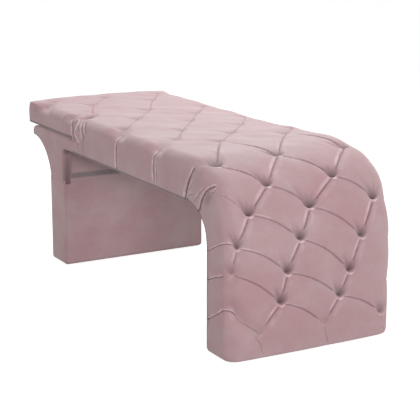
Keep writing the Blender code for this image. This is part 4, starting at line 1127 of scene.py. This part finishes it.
def stretched(tree, stretch):
    """The piece's own coordinates, stretched along each axis."""
    coordinates = tree.nodes.new("ShaderNodeTexCoord")
    mapping = tree.nodes.new("ShaderNodeMapping")
    set_inputs(mapping, {"Scale": stretch})
    tree.links.new(coordinates.outputs["Object"], mapping.inputs["Vector"])
    return mapping.outputs["Vector"]


def noise(tree, scale, detail=2.0, roughness=0.5, stretch=(1, 1, 1)):
    """A noise texture on the piece's own coordinates."""
    texture = tree.nodes.new("ShaderNodeTexNoise")
    set_inputs(texture, {"Scale": scale, "Detail": detail, "Roughness": roughness})
    tree.links.new(stretched(tree, stretch), texture.inputs["Vector"])
    return texture.outputs["Fac"]


def ramp(tree, factor, stops):
    """A colour ramp over a factor. Stops are a place and a colour."""
    node = tree.nodes.new("ShaderNodeValToRGB")
    elements = node.color_ramp.elements
    while len(elements) < len(stops):
        elements.new(0.5)
    for element, (place, color) in zip(elements, stops):
        element.position = place
        element.color = (*color, 1)
    tree.links.new(factor, node.inputs["Fac"])
    return node.outputs["Color"]


def multiplied(tree, first, second):
    """Two colours multiplied. Each may be an output or a value."""
    node = tree.nodes.new("ShaderNodeMix")
    node.data_type = "RGBA"
    node.blend_type = "MULTIPLY"
    node.inputs[0].default_value = 1.0
    for socket, value in ((node.inputs[6], first), (node.inputs[7], second)):
        if isinstance(value, bpy.types.NodeSocket):
            tree.links.new(value, socket)
        else:
            socket.default_value = (*value, 1)
    return node.outputs[2]


def bump(tree, shader, height, strength, distance, under=None):
    """Roughens a shader by a height, on top of another bump where one is given."""
    node = tree.nodes.new("ShaderNodeBump")
    set_inputs(node, {"Strength": strength, "Distance": distance})
    tree.links.new(height, node.inputs["Height"])
    if under:
        tree.links.new(under, node.inputs["Normal"])
    tree.links.new(node.outputs["Normal"], shader.inputs["Normal"])
    return node.outputs["Normal"]


def grey(value):
    """A colour without a hue."""
    return (value, value, value)


# The velvet's two colours, and how the painted shade and painted highlight, neutral at 0.5, change them
VELVET_LIGHT = (0.690, 0.480, 0.494)
VELVET_DARK = (0.645, 0.394, 0.414)
SHADING_NEUTRAL = grey(0.62)
PAINTED_SHADING_STOPS = (
    (0.0, grey(0.15)),
    (0.20, grey(0.33)),
    (0.46, SHADING_NEUTRAL),
    (0.56, SHADING_NEUTRAL),
    (0.80, (0.84, 0.90, 0.90)),
    (1.0, (1.12, 1.32, 1.30)),
)


def make_velvet(name, painted_shading=None):
    """Short pile: soft sheen at grazing angles, brushed patches, a fine grain, and painted shade and
    highlights from the attribute where one is named.
    """
    made, tree, shader = material(name)
    brushed = noise(tree, 6.0, 4.0, 0.6, (1.0, 1.0, 1.3))
    color = ramp(tree, brushed, ((0.36, VELVET_DARK), (0.64, VELVET_LIGHT)))
    pile = noise(tree, 420, 2.0, 0.6)
    grain = ramp(tree, pile, ((0.25, grey(0.90)), (0.75, grey(1.0))))
    color = multiplied(tree, color, grain)
    # Plain velvet is kept at the neutral level of the painted shading
    shade = SHADING_NEUTRAL
    if painted_shading:
        attribute = tree.nodes.new("ShaderNodeAttribute")
        attribute.attribute_name = painted_shading
        shade = ramp(tree, attribute.outputs["Fac"], PAINTED_SHADING_STOPS)
    color = multiplied(tree, color, shade)
    tree.links.new(color, shader.inputs["Base Color"])
    set_inputs(shader, {"Roughness": 0.80, "Specular IOR Level": 0.25})
    set_inputs(shader, {"Sheen Weight": 0.38, "Sheen Roughness": 0.45, "Sheen Tint": (1.0, 0.96, 0.97, 1)})
    soft = bump(tree, shader, noise(tree, 38, 3.0, 0.5), 0.25, 0.002)
    bump(tree, shader, pile, 0.18, 0.0006, soft)
    return made


def make_wood(name, pale, dark, rings, stretch):
    """Planed wood: rings drawn out along the piece, and fine fibres."""
    made, tree, shader = material(name)
    wave = tree.nodes.new("ShaderNodeTexWave")
    set_inputs(wave, {"Scale": rings, "Distortion": 7, "Detail": 3})
    tree.links.new(stretched(tree, stretch), wave.inputs["Vector"])
    color = ramp(tree, wave.outputs["Fac"], ((0.1, dark), (0.8, pale)))
    fibres = noise(tree, 60, 4.0, 0.6, stretch)
    fine = ramp(tree, fibres, ((0.3, (0.86, 0.84, 0.82)), (0.7, grey(1.0))))
    color = multiplied(tree, color, fine)
    tree.links.new(color, shader.inputs["Base Color"])
    set_inputs(shader, {"Roughness": 0.62})
    bump(tree, shader, fibres, 0.15, 0.0005)
    return made


def make_speckled(name, dark, light, speckle, shine, grain, strength, distance):
    """A plain finish of two colours, with a grain. Speckle and grain are noises: scale, detail, roughness."""
    made, tree, shader = material(name)
    color = ramp(tree, noise(tree, *speckle), ((0.3, dark), (0.7, light)))
    tree.links.new(color, shader.inputs["Base Color"])
    set_inputs(shader, shine)
    bump(tree, shader, noise(tree, *grain), strength, distance)
    return made


def make_steel():
    """Bare steel with a faint grain."""
    shine = {"Metallic": 1.0, "Roughness": 0.34}
    dark, light = (0.50, 0.51, 0.52), (0.60, 0.61, 0.62)
    return make_speckled("hinge_steel_finish", dark, light, (90, 3.0), shine, (700, 1.0), 0.06, 0.0003)


def make_plastic():
    """Black moulded plastic."""
    shine = {"Roughness": 0.48}
    dark, light = (0.018, 0.018, 0.019), (0.028, 0.028, 0.030)
    return make_speckled("glide_plastic_finish", dark, light, (120, 2.0), shine, (900, 1.0), 0.08, 0.0002)


def make_non_woven():
    """Black non-woven cloth with pressed fibres."""
    shine, fibres = {"Roughness": 0.92}, (300, 3.0, 0.7)
    dark, light = (0.016, 0.016, 0.017), (0.045, 0.045, 0.047)
    return make_speckled("dust_cloth_finish", dark, light, fibres, shine, fibres, 0.3, 0.0005)


FINISHES = {
    "velvet": make_velvet("velvet_finish"),
    "plywood": make_wood("plywood_finish", (0.62, 0.46, 0.29), (0.50, 0.35, 0.20), 6, (1, 8, 8)),
    "timber": make_wood("timber_finish", (0.66, 0.50, 0.30), (0.52, 0.36, 0.19), 5, (1, 5, 5)),
    "dust_cloth": make_non_woven(),
    "hinge_steel": make_steel(),
    "glide_plastic": make_plastic(),
}
# How the names of the CAD nodes that stay start, by the material slot. All others are timber
NODE_STARTS = {
    "hinge_steel": ("hinge_", "leg_bolt"),
    "glide_plastic": ("glide_",),
    "plywood": ("span_", "curve_", "head_panel", "head_deck", "headrest_board", "leg_board", "side_rail"),
}


def finish_piece(obj, slot, finish=None):
    """Gives a piece its material, the slot's own one where no other is given."""
    obj.data.materials.clear()
    obj.data.materials.append(finish or FINISHES[slot])


# Velvet whose colour carries each piece's painted shade and painted highlights
shaded_velvet = make_velvet("shaded_velvet_finish", "painted_shading")
quilted_cover = make_quilted_cover()
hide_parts("main_cushion", "headrest_cushion")
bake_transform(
    quilted_cover,
    "base",
    "headrest",
    start=(X_HINGE + 0.003, 0, TOP - 0.02),
    end=(X_HINGE - 0.065, 0, TOP - 0.02),
)
finish_piece(quilted_cover, "velvet", shaded_velvet)

for side, word in ((-1, "left"), (1, "right")):
    pad = make_cheek_pad(word, side)
    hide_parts(f"side_pad_{word}")
    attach(pad, "base")
    finish_piece(pad, "velvet", shaded_velvet)

leg_slip_cover = make_leg_slip_cover()
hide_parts("leg_cover")
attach(leg_slip_cover, "base")
finish_piece(leg_slip_cover, "velvet", shaded_velvet)

# The thin padded panels: name, CAD node, rounding, how light the painted shading makes them and how much
# painted shade they get in front
for name, node, rounding, level, front in (
    ("knee_panel", "knee_facing", 0.0012, 0.82, 0.0),
    ("support_front_panel", "head_front_facing", 0.003, 0.80, 0.0),
    ("support_back_panel", "head_back_facing", 0.002, 0.50, 0.0),
    ("cheek_inner_left", "cheek_lining_left", 0.002, 0.50, 0.16),
    ("cheek_inner_right", "cheek_lining_right", 0.002, 0.50, 0.16),
):
    piece = from_node(name, node, rounding)
    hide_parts(node)
    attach(piece, "base")
    shade_by_normal(piece, front=front, level=level)
    finish_piece(piece, "velvet", shaded_velvet)

deck_pad = make_deck_pad()
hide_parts("head_deck_padding")
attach(deck_pad, "base")
finish_piece(deck_pad, "velvet", shaded_velvet)

# The stretched linings: name, CAD node and body
for name, node, body in (
    ("under_lining", "dust_lining", "base"),
    ("headrest_under_lining", "headrest_lining", "headrest"),
):
    piece = from_node(name, node, 0)
    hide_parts(node)
    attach(piece, body)
    finish_piece(piece, "dust_cloth")

for name, node in NODES.items():
    slot = next((slot for slot, starts in NODE_STARTS.items() if name.startswith(starts)), "timber")
    node.data.materials.clear()
    node.data.materials.append(FINISHES[slot])

# The photo's camera: its focal length and the photo's width in pixels, its place and what it looks at
FOCAL_PIXELS = 1332.7
PHOTO_PIXELS = 420
CAMERA_PLACE = (4.7768, -2.6057, 1.6580)
CAMERA_AIM = (0.1604, -0.0038, 0.3671)
# How bright floor, backdrop and the light from all round are
FLOOR_GREY = grey(0.42)
FLOOR_GLOW = grey(0.87)
WHITE = (*grey(1), 1)
AMBIENT = 0.30


def look_at(obj, place, aim):
    """Sets a camera or lamp in its place and turns it to its aim."""
    obj.location = place
    obj.rotation_euler = (Vector(aim) - Vector(place)).to_track_quat("-Z", "Y").to_euler()


def make_camera():
    """The camera that took the photo."""
    data = bpy.data.cameras.new("camera")
    data.lens = FOCAL_PIXELS * data.sensor_width / PHOTO_PIXELS
    data.clip_end = 50
    camera = bpy.data.objects.new("camera", data)
    bpy.context.scene.collection.objects.link(camera)
    look_at(camera, CAMERA_PLACE, CAMERA_AIM)
    bpy.context.scene.camera = camera


def add_area(name, place, aim, size, watts, color=(1, 1, 1)):
    """A rectangular lamp."""
    data = bpy.data.lights.new(name, "AREA")
    data.shape = "RECTANGLE"
    data.size, data.size_y = size
    data.energy = watts
    data.color = color
    lamp = bpy.data.objects.new(name, data)
    bpy.context.scene.collection.objects.link(lamp)
    look_at(lamp, place, aim)


def seen_directly(tree):
    """1 where the ray comes from the camera or off a gloss or a glass, else 0."""
    path = tree.nodes.new("ShaderNodeLightPath")
    most = path.outputs["Is Camera Ray"]
    for word in ("Is Glossy Ray", "Is Transmission Ray"):
        pick = tree.nodes.new("ShaderNodeMath")
        pick.operation = "MAXIMUM"
        tree.links.new(most, pick.inputs[0])
        tree.links.new(path.outputs[word], pick.inputs[1])
        most = pick.outputs[0]
    return most


def make_floor():
    """A matt floor that looks as bright as the backdrop to the camera and still takes shadows."""
    bpy.ops.object.select_all(action="DESELECT")
    bpy.ops.mesh.primitive_plane_add(size=30)
    floor = bpy.context.active_object
    floor.name = "floor"
    made, tree, shader = material("floor_finish")
    set_inputs(shader, {"Base Color": (*FLOOR_GREY, 1), "Roughness": 1.0, "Specular IOR Level": 0.0})
    lit = tree.nodes.new("ShaderNodeEmission")
    tree.links.new(seen_directly(tree), lit.inputs["Strength"])
    set_inputs(lit, {"Color": (*FLOOR_GLOW, 1)})
    both = tree.nodes.new("ShaderNodeAddShader")
    output = tree.nodes["Material Output"]
    tree.links.new(shader.outputs[0], both.inputs[0])
    tree.links.new(lit.outputs[0], both.inputs[1])
    tree.links.new(both.outputs[0], output.inputs["Surface"])
    floor.data.materials.append(made)


def make_backdrop():
    """White all round for the camera, and a weaker light on the bed."""
    world = bpy.data.worlds.new("studio")
    bpy.context.scene.world = world
    world.use_nodes = True
    tree = world.node_tree
    ambient = tree.nodes["Background"]
    set_inputs(ambient, {"Color": WHITE, "Strength": AMBIENT})
    white = tree.nodes.new("ShaderNodeBackground")
    set_inputs(white, {"Color": WHITE, "Strength": 1.0})
    pick = tree.nodes.new("ShaderNodeMixShader")
    tree.links.new(seen_directly(tree), pick.inputs[0])
    tree.links.new(ambient.outputs[0], pick.inputs[1])
    tree.links.new(white.outputs[0], pick.inputs[2])
    tree.links.new(pick.outputs[0], tree.nodes["World Output"].inputs["Surface"])


make_camera()
make_floor()
make_backdrop()
add_area("overhead", (-0.8, 1.3, 3.3), (0.0, 0, 0.6), (2.4, 2.0), 92)
add_area("front", (5.6, -2.3, 1.6), (0.2, 0, 0.3), (1.8, 1.6), 200)
add_area("near_side", (-1.4, -4.2, 1.5), (-0.2, 0, 0.4), (2.0, 1.6), 44, (1.0, 0.93, 0.95))
add_area("far_side", (3.0, 4.0, 1.8), (0.4, 0, 0.4), (1.8, 1.4), 90)

bpy.context.scene.view_settings.view_transform = "Standard"
